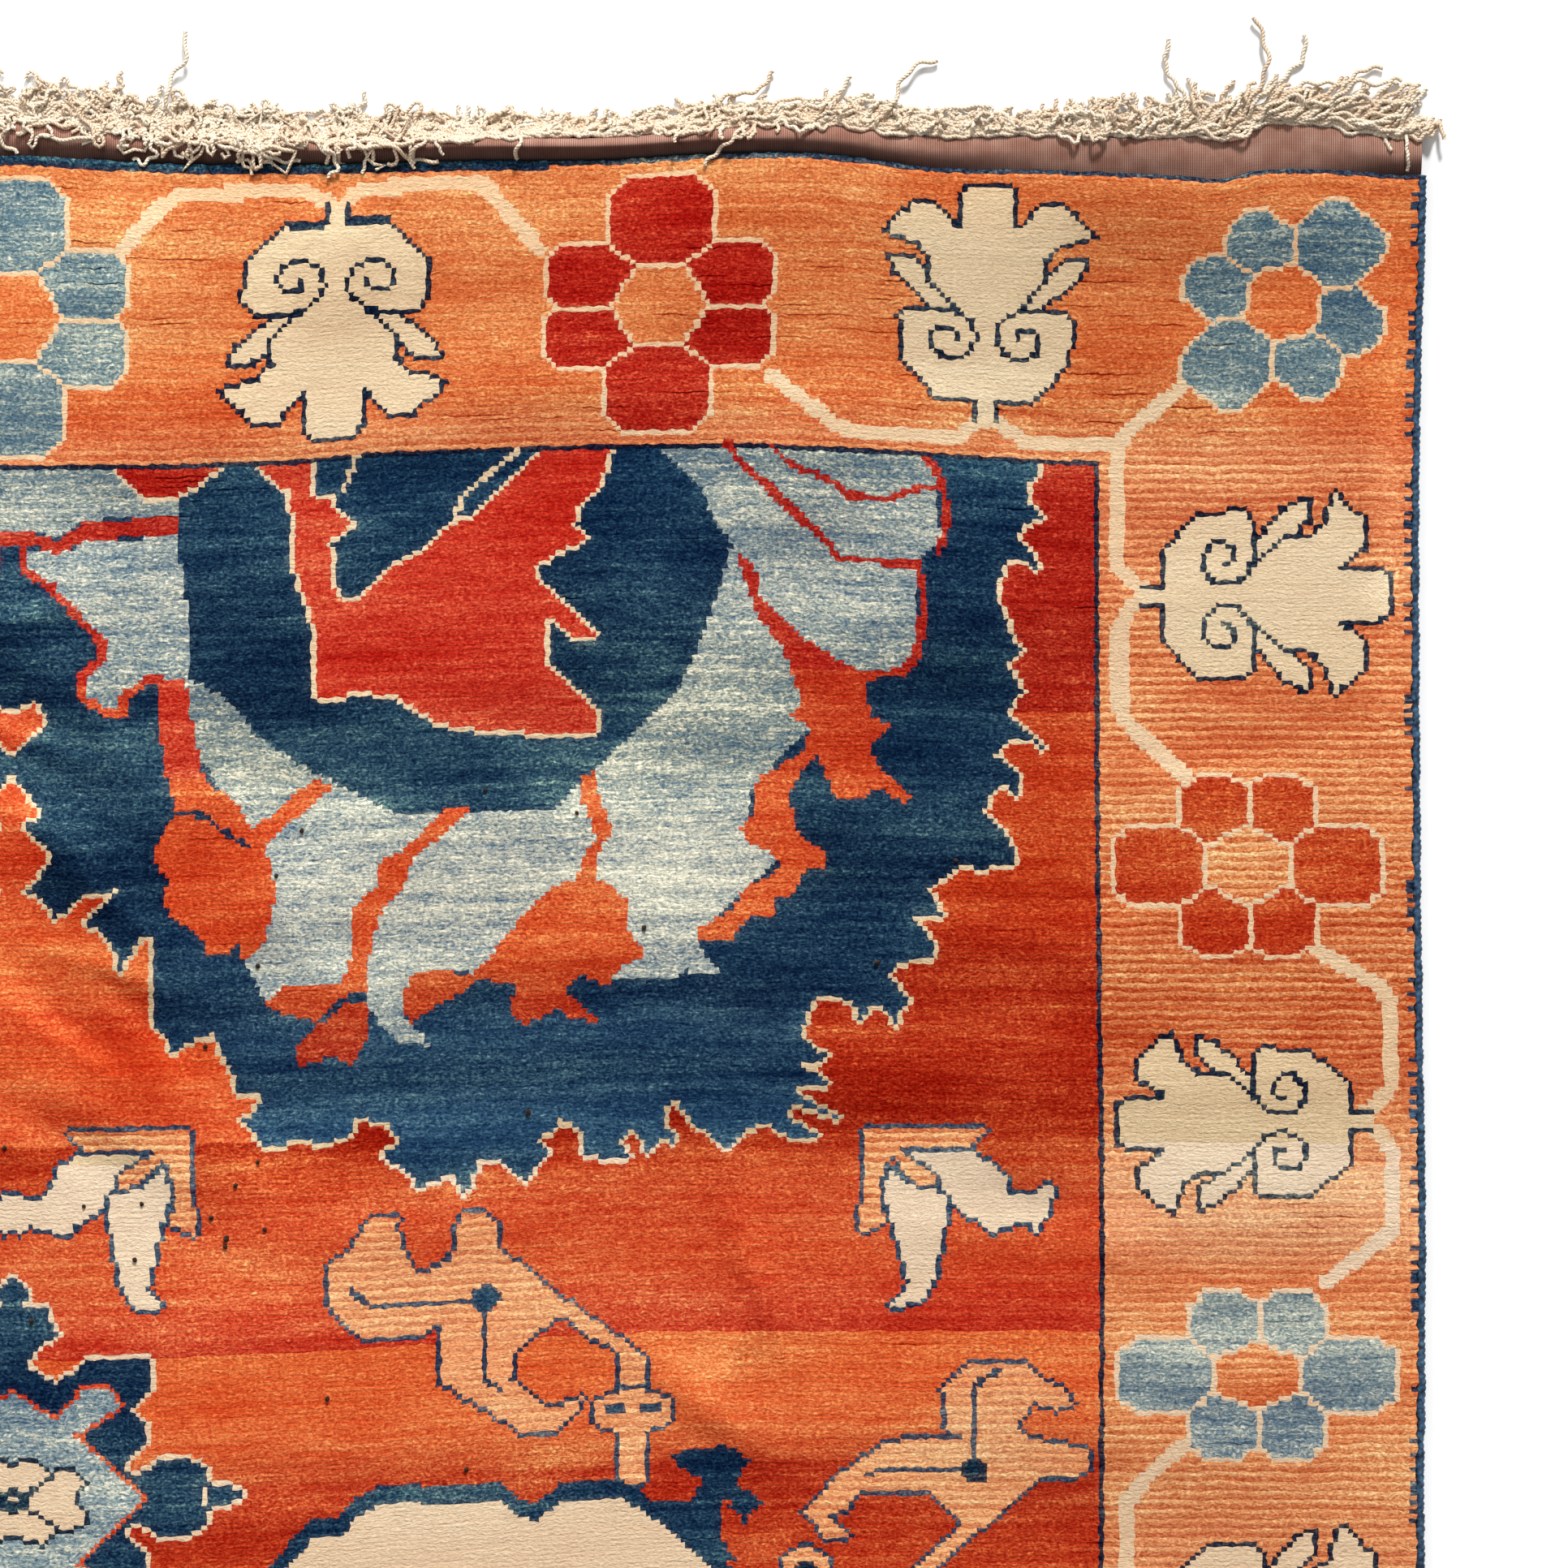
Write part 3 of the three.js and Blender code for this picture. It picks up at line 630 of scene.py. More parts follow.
def knot_place(columns, rows):
    """Where a corner between knots lies on the carpet, seen from above, in millimetres."""
    along_share = 1 - rows / ROWS
    nominal = (along_share - 0.5) * PILE_LENGTH
    x = -left_edge(nominal) + (left_edge(nominal) + right_edge(nominal)) * columns / COLUMNS
    y = -END_LINE["foot"] + (END_LINE["foot"] + END_LINE["head"]) * along_share
    y = y + (head_line(x) - END_LINE["head"]) * np.exp(-rows / END_WAVE_ROWS)
    y = y - (foot_line(-x) - END_LINE["foot"]) * np.exp(-(ROWS - rows) / END_WAVE_ROWS)
    bow = BOW["depth"] * np.clip(1 - (x / BOW["half_width"]) ** 2, 0, 1) ** 2
    bow = bow * np.sin(np.pi * along_share) ** 2
    spread = np.where(rows < BORDER_ROW, GUARD_SPREAD["above"], GUARD_SPREAD["below"])
    wave = np.interp(abs(x), *zip(*GUARD_WAVE)) * np.exp(-((rows - BORDER_ROW) / spread) ** 2)
    return x, y - bow + wave


# Soft folds in the pile: middle, direction in degrees, half length, half width and height
FOLDS = table_of(
    "x y turn length width height",
    (66, 864, -45, 150, 40, 5),
    (60, 690, -36, 150, 30, 5.5),
    (20, 1050, -48, 120, 36, 4.5),
    (640, 550, -78, 120, 30, 3),
    (610, 415, -40, 90, 30, 2.5),
    (275, 1415, 85, 90, 34, 2.5),
    (-430, 900, 24, 180, 42, 3.5),
    (-760, 320, -30, 150, 40, 3),
    (-240, -180, 55, 160, 44, 3.5),
    (380, -420, 30, 180, 40, 4),
    (-420, -960, -62, 150, 40, 3),
    (760, -980, 14, 160, 38, 3),
)
# Creases within and beside the folds, narrower, that bend the pile's tips apart
CREASES = table_of(
    "x y turn length width height",
    (85, 850, -40, 70, 13, 2.6),
    (40, 905, -28, 80, 15, 2.4),
    (25, 985, -20, 60, 12, 2.4),
    (70, 1010, -58, 55, 14, 2.2),
    (15, 1095, 16, 50, 12, 2.2),
    (55, 722, -34, 80, 14, 3.0),
    (80, 792, -18, 60, 11, 2.2),
    (120, 745, -42, 70, 14, -2.0),
    (30, 655, -30, 70, 18, -2.2),
    (180, 940, 8, 90, 16, 1.6),
    (300, 1010, -12, 120, 22, 1.6),
    (640, 525, -72, 60, 12, 2.2),
    (622, 455, -105, 50, 12, 2.0),
    (600, 410, -38, 60, 14, 2.0),
    (250, 1425, 88, 60, 9, 2.0),
    (300, 1430, 92, 60, 10, 1.8),
    (870, 1100, 4, 160, 24, 1.4),
    (780, 820, -6, 190, 26, 1.5),
    (1030, 690, 3, 150, 24, 1.3),
    (420, 800, 5, 200, 24, 1.6),
    (880, 560, -4, 150, 20, 1.3),
    (300, 560, 6, 170, 26, 1.6),
    (-90, 930, -24, 90, 16, 2.4),
    (-520, 980, 18, 110, 16, 2.2),
    (-700, 300, -26, 90, 15, 2.2),
    (-200, -240, 48, 100, 16, 2.4),
    (430, -380, 24, 110, 15, 2.4),
    (-380, -900, -54, 90, 15, 2.2),
    (700, -1020, 12, 110, 16, 2.0),
)
PILE_THICKNESS = 11
SHARP_ANGLE = math.radians(50)
RIM_DROP = 1.5
RIM_WIDTH = 7
FOLD_MARGIN = 70


def swell(places, column, x, y):
    """The sum of soft oval swells of a table, each as high as its value in a column."""
    total = np.zeros(np.shape(x))
    for place in places:
        turn = math.radians(place["turn"])
        ahead = ((x - place["x"]) * math.cos(turn) + (y - place["y"]) * math.sin(turn)) / place["length"]
        across = ((y - place["y"]) * math.cos(turn) - (x - place["x"]) * math.sin(turn)) / place["width"]
        total += place[column] * np.exp(-ahead ** 2 - across ** 2)
    return total


def smooth(share):
    """An even rise from 0 to 1 that starts and ends softly."""
    share = np.clip(share, 0, 1)
    return share * share * (3 - 2 * share)


def blocks(grid, size):
    """What a grid holds, square by square."""
    down, across = ROWS // size, COLUMNS // size
    cut = grid[:down * size, :across * size].reshape(down, size, across, size)
    return cut.transpose(0, 2, 1, 3).reshape(down, across, -1)


# The whole chart. Where one yarn fills a square of four or two knots a side, and the pile hardly bends
# there, its knots are joined into one face.
whole = np.concatenate([chart[:, ::-1], chart], 1)
whole = np.concatenate([whole, whole[::-1]])
SQUARES = (4, 2, 1)
FINE_RIM = 3
SEAM_ROW = 368
BEND_LIMIT = {4: 0.22, 2: 0.8, 1: 100}
free = np.ones(whole.shape, bool)
inner = np.zeros(whole.shape, bool)
inner[FINE_RIM:-FINE_RIM, FINE_RIM:-FINE_RIM] = True
every_row, every_column = np.mgrid[0:ROWS, 0:COLUMNS]
every_x, every_y = knot_place(every_column + 0.5, every_row + 0.5)
lift = np.pad(swell(FOLDS + CREASES, "height", every_x, every_y), 2, mode="edge")
bending = np.maximum(abs(lift[:-4, 2:-2] + lift[4:, 2:-2] - 2 * lift[2:-2, 2:-2]),
                     abs(lift[2:-2, :-4] + lift[2:-2, 4:] - 2 * lift[2:-2, 2:-2]))
corners = np.zeros((ROWS + 1, COLUMNS + 1), bool)
squares = []
for size in SQUARES:
    yarns = blocks(whole, size)
    alike = (yarns.min(2) == yarns.max(2)) & (blocks(bending, size).max(2) < BEND_LIMIT[size])
    fits = blocks(free, size).all(2) & (alike & blocks(inner, size).all(2) if size > 1 else True)
    top, left = (np.argwhere(fits) * size).T
    for row_step in range(size):
        for column_step in range(size):
            free[top + row_step, left + column_step] = False
    for row_step in (0, size):
        for column_step in (0, size):
            corners[top + row_step, left + column_step] = True
    squares.append((size, top, left))

# Every corner's place, with the wander of hand knotting, the folds and the rounded rim
JITTER = 0.26
FRAY = {"tufts": (-0.25, 0.25), "ends": (-0.5, 0.9), "sides": (0.4, 3.4)}
scatter = np.random.default_rng(7)
corner_rows, corner_columns = np.argwhere(corners).T
on_rim = (corner_rows == 0) | (corner_rows == ROWS) | (corner_columns == 0) | (corner_columns == COLUMNS)
wander = scatter.uniform(-JITTER, JITTER, (2, len(corner_rows))) * ~on_rim
corner_x, corner_y = knot_place(corner_columns + wander[0], corner_rows + wander[1])
KNOT_WIDTH = 4.39
KNOT_HEIGHT = 4.06
from_edge = np.minimum(np.minimum(corner_columns, COLUMNS - corner_columns) * KNOT_WIDTH,
                       np.minimum(corner_rows, ROWS - corner_rows) * KNOT_HEIGHT)
rounding = 1 - np.sqrt(1 - (1 - np.clip(from_edge / RIM_WIDTH, 0, 1)) ** 2)
tufts = scatter.uniform(*FRAY["tufts"], len(corner_rows)) * ~on_rim
frayed = scatter.uniform(*FRAY["ends"], len(corner_rows)) * ((corner_rows == 0) | (corner_rows == ROWS))
corner_y += frayed * np.where(corner_rows == 0, 1, -1)
overhang = scatter.uniform(*FRAY["sides"], len(corner_rows))
overhang = overhang * ((corner_columns == 0) | (corner_columns == COLUMNS))
corner_z = (PILE_THICKNESS - RIM_DROP * rounding + tufts
            + swell(FOLDS + CREASES, "height", corner_x, corner_y) * smooth(from_edge / FOLD_MARGIN))
corner_x += overhang * np.sign(corner_x)
corner_number = np.full(corners.shape, -1)
corner_number[corner_rows, corner_columns] = np.arange(len(corner_rows))

# Dye lots: each yarn's colour changes down the rows, as the weaver took up a new batch of wool. A lot is
# a row and the red, green and blue seen there, 0 to 255. It runs smoothly into the next one, unless that
# one starts at the same row.
DYE_LOTS = {
    "field": [(62, 176, 42, 28), (100, 166, 37, 23), (116, 165, 36, 21), (116, 190, 64, 32),
              (150, 192, 66, 30), (166, 174, 48, 22), (176, 166, 40, 18), (185, 184, 54, 26),
              (196, 166, 40, 18), (204, 164, 38, 16), (212, 194, 68, 34), (220, 206, 80, 44),
              (232, 214, 88, 48), (240, 206, 72, 42), (248, 194, 58, 36), (248, 226, 112, 60),
              (266, 226, 110, 60), (278, 178, 50, 26), (292, 188, 60, 30), (340, 200, 76, 40),
              (366, 182, 54, 28), (430, 196, 66, 34), (480, 176, 44, 24), (540, 206, 84, 46),
              (600, 184, 56, 28), (670, 170, 42, 22)],
    "brick": [(0, 192, 66, 30), (150, 186, 60, 28), (366, 182, 56, 28)],
    "blaze": [(96, 200, 58, 34), (130, 214, 80, 42), (150, 212, 80, 42), (165, 224, 98, 50),
              (178, 206, 72, 36), (186, 226, 100, 52), (204, 212, 82, 44)],
    "indigo": [(62, 34, 64, 88), (90, 26, 51, 74), (110, 22, 46, 68), (122, 34, 62, 84), (150, 24, 47, 68),
               (168, 30, 57, 82), (176, 30, 55, 78), (183, 46, 76, 100), (192, 28, 54, 78),
               (202, 54, 88, 114), (214, 34, 62, 86), (270, 26, 52, 76), (366, 34, 64, 90),
               (600, 30, 58, 84)],
    "sky": [(62, 134, 146, 142), (76, 150, 160, 156), (92, 156, 165, 160), (112, 132, 142, 136),
            (126, 140, 150, 142), (146, 182, 184, 172), (160, 176, 177, 165), (172, 166, 174, 168),
            (186, 144, 152, 146), (250, 144, 160, 162), (300, 150, 164, 162)],
    "azure": [(0, 106, 130, 136), (44, 118, 138, 140), (240, 150, 160, 154), (258, 146, 158, 156),
              (270, 126, 142, 148)],
    "ivory": [(0, 228, 200, 160), (62, 230, 204, 168), (208, 218, 190, 150), (208, 232, 206, 176),
              (270, 230, 200, 166), (366, 226, 196, 160)],
    "vine": [(0, 236, 192, 148), (45, 234, 200, 160), (120, 230, 196, 158), (208, 226, 192, 152),
             (208, 236, 208, 178), (300, 230, 196, 158), (366, 226, 190, 152)],
    "apricot": [(0, 216, 124, 70), (16, 214, 114, 62), (30, 226, 130, 74), (40, 221, 120, 66),
                (50, 210, 101, 52), (62, 218, 130, 84), (80, 212, 128, 84), (110, 214, 122, 74),
                (150, 204, 104, 58), (172, 189, 84, 42), (186, 195, 90, 47), (206, 216, 132, 84),
                (216, 244, 181, 135), (224, 242, 178, 132), (236, 222, 134, 84), (262, 220, 130, 78),
                (284, 216, 132, 84), (300, 220, 144, 98), (366, 212, 128, 84), (450, 208, 116, 70),
                (560, 220, 142, 98), (670, 208, 122, 78)],
    "crimson": [(0, 178, 34, 22), (366, 174, 40, 28)],
    "scarlet": [(62, 200, 60, 40), (90, 200, 60, 40), (120, 192, 54, 36)],
    "ember": [(62, 176, 42, 30), (108, 176, 44, 30), (108, 188, 62, 34), (140, 206, 82, 42),
              (168, 204, 80, 40), (186, 168, 50, 30), (366, 188, 60, 28)],
    "navy": [(0, 18, 40, 60), (366, 18, 40, 60)],
    "peach": [(62, 236, 156, 104), (205, 228, 136, 86), (230, 252, 188, 136), (300, 246, 172, 118)],
    "denim": [(0, 30, 54, 76), (240, 38, 66, 90), (366, 32, 58, 80)],
}
WHITE_LIGHT = 1.12
NEIGHBOUR_SHARE = 0.07
SHADED_FAMILIES = {
    "striped": {"apricot": 1, "peach": 1.6},
    "mottled": {"sky": 1, "azure": 0.6},
    "pale": {"ivory": 1, "vine": 1},
}


def linear(colour):
    """An sRGB colour, 0 to 255, as the wool's own linear colour under the scene's light."""
    share = np.asarray(colour, float) / 255
    return np.where(share <= 0.04045, share / 12.92, ((share + 0.055) / 1.055) ** 2.4) / WHITE_LIGHT


def dyed(codes, rows):
    """The colour of knots of given yarns at given rows."""
    colours = np.zeros((*codes.shape, 3))
    for name, lots in DYE_LOTS.items():
        these = codes == CODE[name]
        lot_rows = [lot[0] for lot in lots]
        batches = linear([lot[1:] for lot in lots])
        for channel in range(3):
            colours[..., channel][these] = np.interp(rows[these], lot_rows, batches[:, channel])
    return colours


def family_masks(codes):
    """How far knots of given yarns take part in each of the shaded families."""
    masks = [sum((codes == CODE[name]) * share for name, share in names.items())
             for names in SHADED_FAMILIES.values()]
    return np.stack(masks, -1)


# Where corners of knots meet, wool mixes a little: a corner looks like the mean of the four knots there
padded = np.pad(whole, 1, mode="edge")
row_number = np.arange(ROWS + 2)[:, None] - 0.5 + np.zeros(padded.shape)
knot_colours = dyed(padded, row_number)
knot_masks = family_masks(padded).astype(float)
knot_looks = np.concatenate([knot_colours, knot_masks], -1)
corner_looks = (knot_looks[:-1, :-1] + knot_looks[1:, :-1] + knot_looks[:-1, 1:] + knot_looks[1:, 1:]) / 4
# A square's own colour is read this far inside its edges, in knots
JUST_INSIDE = 0.02

# Where the pile parts between its rows: middle and half size of each place, in columns and rows
PARTINGS = table_of(
    "column row wide high",
    (455, 26, 60, 16), (480, 44, 40, 12),
    (300, 24, 22, 14), (330, 164, 12, 5),
    (305, 66, 18, 7), (390, 55, 30, 6),
    (520, 225, 22, 8), (120, 40, 50, 16),
    (200, 500, 60, 20), (420, 620, 50, 16),
)


def parted_share(columns, rows):
    """How much the pile parts at a place, 0 to 1."""
    share = 0
    for place in PARTINGS:
        share = np.maximum(share, np.exp(-((columns - place["column"]) / place["wide"]) ** 4
                                         - ((rows - place["row"]) / place["high"]) ** 4))
    return share + np.zeros(len(rows))


# Broad places where the pile looks lighter or darker, in millimetres as the folds are: partly the pile's lay,
# partly painted light and shade for uneven light and the folds' shadows. shade: -1 to 1
LAY_AND_PAINTED_LIGHT = table_of(
    "x y turn length width shade",
    (330, 1229, 1, 130, 18, -0.9),
    (372, 935, 1, 380, 17, 0.65),
    (640, 672, 1, 170, 22, -0.6),
    (207, 624, -6, 100, 26, 0.6),
    (196, 520, 0, 90, 42, 0.5),
    (841, 379, 4, 100, 45, -0.4),
    (1072, 584, 1, 130, 14, 0.4),
    (1042, 1412, 0, 140, 40, -0.6),
    (950, 1440, 0, 60, 24, -0.4),
    (140, 1396, 0, 60, 26, 0.5),
    (800, 1294, 0, 130, 16, 0.6),
    (100, 1440, 0, 100, 26, 0.6),
    (419, 1385, -2, 120, 38, -0.4),
    (637, 756, 20, 44, 28, -0.6),
    (811, 1040, 0, 44, 24, -0.5),
    (240, 888, 0, 54, 46, 0.5),
    (75, 1142, 0, 54, 14, 0.6),
    (300, 1350, 0, 80, 36, -0.3),
    (596, 1342, 0, 60, 26, -0.4),
    (1190, 1180, 90, 160, 16, 0.6),
    (1037, 967, 0, 110, 16, 0.5),
    (928, 835, 0, 60, 12, 0.5),
    (870, 608, -10, 70, 20, -0.6),
    (95, 712, -48, 110, 20, -0.8),
    (25, 692, -20, 50, 22, 0.8),
    (446, 1016, 0, 130, 26, -0.4),
    (786, 906, 0, 60, 30, 0.4),
    (60, 1378, 0, 80, 20, 0.5),
    (1000, 345, 0, 180, 50, -0.4),
    (228, 336, 0, 90, 16, 0.5),
    (228, 961, 0, 50, 12, -0.6),
    (547, 1124, 0, 40, 36, 0.5),
    (132, 1056, 0, 50, 20, 0.4),
    (690, 1190, 0, 60, 60, -0.4),
    (275, 800, -48, 60, 14, 0.5),
    (-420, 1100, 4, 200, 40, -0.4),
    (-760, 620, -3, 180, 34, 0.4),
    (-300, 120, 2, 240, 44, -0.35),
    (520, -240, -4, 200, 40, 0.4),
    (-880, -700, 0, 160, 36, 0.4),
    (160, -900, 3, 260, 46, -0.4),
    (900, -1250, 0, 180, 40, 0.35),
)


def square_outline(size):
    """The steps from a square's top left corner, once around it, anticlockwise as seen from above."""
    side = np.arange(size)
    down = np.concatenate([np.full(size, size), size - side, np.zeros(size, int), side])
    across = np.concatenate([side, np.full(size, size), size - side, np.zeros(size, int)])
    return down, across


def pile_piece(name, first_row, last_row, materials):
    """The pile between two rows, closed by upright sides and a flat underside."""
    faces, looks, places = [], [], []
    # A square's face keeps every corner on its edges, so that neighbours share them
    for size, top, left in squares:
        chosen = (top >= first_row) & (top < last_row)
        top_here, left_here = top[chosen], left[chosen]
        down, across = square_outline(size)
        rows = top_here[:, None] + down
        columns = left_here[:, None] + across
        used = corners[rows, columns]
        own_rows = top_here[:, None] + np.clip(down, JUST_INSIDE, size - JUST_INSIDE)
        codes = whole[top_here, left_here][:, None] + np.zeros(rows.shape, int)
        own = np.concatenate([dyed(codes, own_rows), family_masks(codes)], -1)
        share = NEIGHBOUR_SHARE / size
        blended = own * (1 - share) + corner_looks[rows, columns] * share
        numbers = corner_number[rows, columns]
        faces += [list(line[keep]) for line, keep in zip(numbers, used)]
        looks.append(blended[used])
        places.append(np.stack([columns, rows], -1)[used])
    top_faces = len(faces)
    ring = [(row, 0) for row in range(first_row, last_row)]
    ring += [(last_row, column) for column in range(COLUMNS)]
    ring += [(row, COLUMNS) for row in range(last_row, first_row, -1)]
    ring += [(first_row, column) for column in range(COLUMNS, 0, -1)]
    ring = [spot for spot in ring if corners[spot]]
    ring_rows, ring_columns = np.array(ring).T
    rim = corner_number[ring_rows, ring_columns]
    base = len(corner_x) + np.arange(len(rim))
    base_x = corner_x[rim] - (overhang * np.sign(corner_x))[rim]
    edge_looks = knot_colours[np.clip(ring_rows, 1, ROWS), np.clip(ring_columns, 1, COLUMNS)]
    edge_looks = np.concatenate([edge_looks, np.zeros(edge_looks.shape)], -1)
    for spot in range(len(rim)):
        after = (spot + 1) % len(rim)
        faces.append([rim[spot], base[spot], base[after], rim[after]])
        looks.append(edge_looks[[spot, spot, after, after]])
        places.append(np.array([ring[spot], ring[spot], ring[after], ring[after]])[:, ::-1])
    faces.append(list(base[::-1]))
    looks.append(edge_looks[::-1])
    places.append(np.array(ring)[::-1, ::-1])

    heights = np.concatenate([corner_z, np.zeros(len(rim))])
    vertices = np.stack([np.concatenate([corner_x, base_x]), np.concatenate([corner_y, corner_y[rim]]),
                         heights], -1) * MM
    kept, renumbered = np.unique(np.concatenate([np.array(face) for face in faces]), return_inverse=True)
    ends = np.cumsum([len(face) for face in faces])
    faces = [face.tolist() for face in np.split(renumbered, ends[:-1])]
    piece = new_piece(name, vertices[kept].tolist(), faces, materials)
    mesh = piece.data
    looks = np.concatenate(looks)
    places = np.concatenate(places)
    opaque = np.ones((len(looks), 1))
    for label, values in (("yarn_colour", looks[:, :3]), ("yarn_family", looks[:, 3:])):
        layer = mesh.attributes.new(label, "FLOAT_COLOR", "CORNER")
        layer.data.foreach_set("color", np.concatenate([values, opaque], 1).astype(np.float32).ravel())
    # Each corner's share of the partings, and of the lay patches with their painted light and shade
    shades = swell(LAY_AND_PAINTED_LIGHT, "shade", *knot_place(*places.T.astype(float)))
    for label, values in (("parted", parted_share(*places.T)), ("lay_and_painted_light", shades)):
        layer = mesh.attributes.new(label, "FLOAT", "CORNER")
        layer.data.foreach_set("value", values.astype(np.float32))
    mesh.uv_layers.new(name="knots").uv.foreach_set("vector", places.astype(np.float32).ravel())
    mesh.polygons.foreach_set("use_smooth", np.arange(len(faces)) < top_faces)
    underside = np.zeros(len(faces), int)
    underside[-1] = 1
    mesh.polygons.foreach_set("material_index", underside)
    mesh.update()
    mesh.set_sharp_from_angle(angle=SHARP_ANGLE)
    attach(piece, "root")
    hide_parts("knotted_pile")
    return piece


def node(tree, kind, sockets=None, **settings):
    """A node with its settings, and its sockets linked or set."""
    made = tree.nodes.new(kind)
    for name, value in settings.items():
        setattr(made, name, value)
    for socket, value in (sockets or {}).items():
        if isinstance(value, bpy.types.NodeSocket):
            tree.links.new(value, made.inputs[socket])
        else:
            made.inputs[socket].default_value = value
    return made


def tree_of(values):
    """The node tree that the sockets among some values belong to."""
    return next(value.id_data for value in values if isinstance(value, bpy.types.NodeSocket))


def maths(operation, *values):
    """A Math node's result."""
    return node(tree_of(values), "ShaderNodeMath", dict(enumerate(values)), operation=operation).outputs[0]


def vectors(operation, *values):
    """A Vector Math node's result."""
    made = node(tree_of(values), "ShaderNodeVectorMath", dict(enumerate(values)), operation=operation)
    return made.outputs[0]


def times(first, *factors):
    """The product of sockets and numbers."""
    for factor in factors:
        first = maths("MULTIPLY", first, factor)
    return first


def plus(first, second):
    """The sum of two sockets or numbers."""
    return maths("ADD", first, second)


def minus(first, second):
    """The difference of two sockets or numbers."""
    return maths("SUBTRACT", first, second)


def part(vector, axis):
    """One axis of a vector."""
    return node(vector.id_data, "ShaderNodeSeparateXYZ", {0: vector}).outputs[axis]


def carried(tree, name, output="Fac"):
    """What a piece's mesh carries under a name."""
    return node(tree, "ShaderNodeAttribute", attribute_name=name).outputs[output]


def noise(place, scale, detail=2.0, roughness=0.5):
    """A noise of greys."""
    return node(place.id_data, "ShaderNodeTexNoise", {
        "Vector": place, "Scale": scale, "Detail": detail, "Roughness": roughness}).outputs["Fac"]


def wool(red, green, blue):
    """A colour as seen in the carpet, 0 to 255, for a colour socket."""
    return (*linear((red, green, blue)), 1)


def mixed(mode, factor, first, second):
    """A Mix Color node's result."""
    tree = tree_of((factor, first, second))
    made = node(tree, "ShaderNodeMix", data_type="RGBA", blend_type=mode)
    for socket, value in (("Factor_Float", factor), ("A_Color", first), ("B_Color", second)):
        entry = next(s for s in made.inputs if s.identifier == socket)
        if isinstance(value, bpy.types.NodeSocket):
            tree.links.new(value, entry)
        else:
            entry.default_value = value
    return next(s for s in made.outputs if s.identifier == "Result_Color")


def ramp(factor, *stops):
    """A Color Ramp of greys through (place, value) stops."""
    made = node(factor.id_data, "ShaderNodeValToRGB", {"Fac": factor})
    elements = made.color_ramp.elements
    while len(elements) < len(stops):
        elements.new(0.5)
    for element, (place, value) in zip(elements, stops):
        element.position = place
        element.color = (value, value, value, 1)
    return made.outputs["Color"]


def between(factor, low, high):
    """A number from low to high as a factor goes from 0 to 1."""
    return node(factor.id_data, "ShaderNodeMapRange", {"Value": factor, "To Min": low, "To Max": high},
                clamp=False).outputs["Result"]


def dress(shader, colour, height, depth, strength=1.0):
    """Give a shader its colour, and bumps of a height that are so many metres deep."""
    tree = shader.id_data
    bump = node(tree, "ShaderNodeBump", {"Height": height, "Distance": depth, "Strength": strength})
    tree.links.new(colour, shader.inputs["Base Color"])
    tree.links.new(bump.outputs["Normal"], shader.inputs["Normal"])


def new_group(name, inputs, outputs):
    """A shader node group with named sockets. Returns it with its two ends."""
    group = bpy.data.node_groups.new(name, "ShaderNodeTree")
    for direction, sockets in (("INPUT", inputs), ("OUTPUT", outputs)):
        for label, kind in sockets.items():
            group.interface.new_socket(label, in_out=direction, socket_type="NodeSocket" + kind)
    return group, group.nodes.new("NodeGroupInput").outputs, group.nodes.new("NodeGroupOutput").inputs


# Knots: each has its own shade and a domed tuft, each row its own tone, with furrows between the rows.
# The rows wander in long and in short waves. Noises are drawn out along the rows, by so much on each axis.
WANDER = [(0.12, (1.1, 0.9, 0)), (0.7, (1.3, 0.6, 0))]
NOISES = {
    "Streak": ((0.04, 0.4, 1), 4.0), "Fleck": ((0.22, 0.8, 1), 5.0), "Cloud": ((0.014, 0.045, 1), 3.0),
    "Grain": ((1.5, 1.9, 1), 3.0), "Tips": ((0.8, 1.9, 1), 3.0),
}
PARTING_STRETCH = (0.05, 0.77, 1)
knots, given, out = new_group("knot_rows", {"Knots": "Vector", "Parted": "Float"}, {
    label: "Float" for label in ("Tuft", "Furrow", "Knot tone", "Row tone", *NOISES, "Stripe", "Parting")})
wandered = given["Knots"]
for scale, amount in WANDER:
    wavy = node(knots, "ShaderNodeTexNoise", {"Vector": given["Knots"], "Scale": scale})
    shifted = vectors("SUBTRACT", wavy.outputs["Color"], (0.5, 0.5, 0.5))
    wandered = vectors("ADD", wandered, vectors("MULTIPLY", shifted, amount))
cell = vectors("FLOOR", wandered)
column_dome = maths("SINE", times(maths("FRACT", part(wandered, "X")), math.pi))
row_dome = maths("SINE", times(maths("FRACT", part(wandered, "Y")), math.pi))
tuft = maths("POWER", times(column_dome, row_dome), 0.6)
tone = node(knots, "ShaderNodeTexWhiteNoise", {"Vector": cell}, noise_dimensions="2D").outputs["Value"]
row_tone = node(knots, "ShaderNodeTexWhiteNoise", {"W": part(cell, "Y")}, noise_dimensions="1D")
stripe = maths("SINE", times(part(wandered, "Y"), math.pi))
between_rows = node(knots, "ShaderNodeCombineXYZ", {
    0: part(wandered, "X"), 1: maths("ROUND", part(wandered, "Y"))}).outputs[0]
eased = plus(noise(vectors("MULTIPLY", between_rows, PARTING_STRETCH), 1.0, 4.0), times(given["Parted"], 0.1))
results = {
    "Tuft": tuft,
    "Furrow": maths("POWER", row_dome, 0.5),
    "Knot tone": plus(times(minus(tone, 0.5), tuft), 0.5),
    "Row tone": row_tone.outputs["Value"],
    "Stripe": ramp(plus(times(stripe, 0.5), 0.5), (0.34, 0), (0.66, 1)),
    "Parting": times(ramp(row_dome, (0.15, 1), (0.62, 0)), ramp(eased, (0.68, 0), (0.75, 1))),
}
for label, (stretch, detail) in NOISES.items():
    results[label] = noise(vectors("MULTIPLY", wandered, stretch), 1.0, detail, 0.6)
for label, result in results.items():
    knots.links.new(result, out[label])

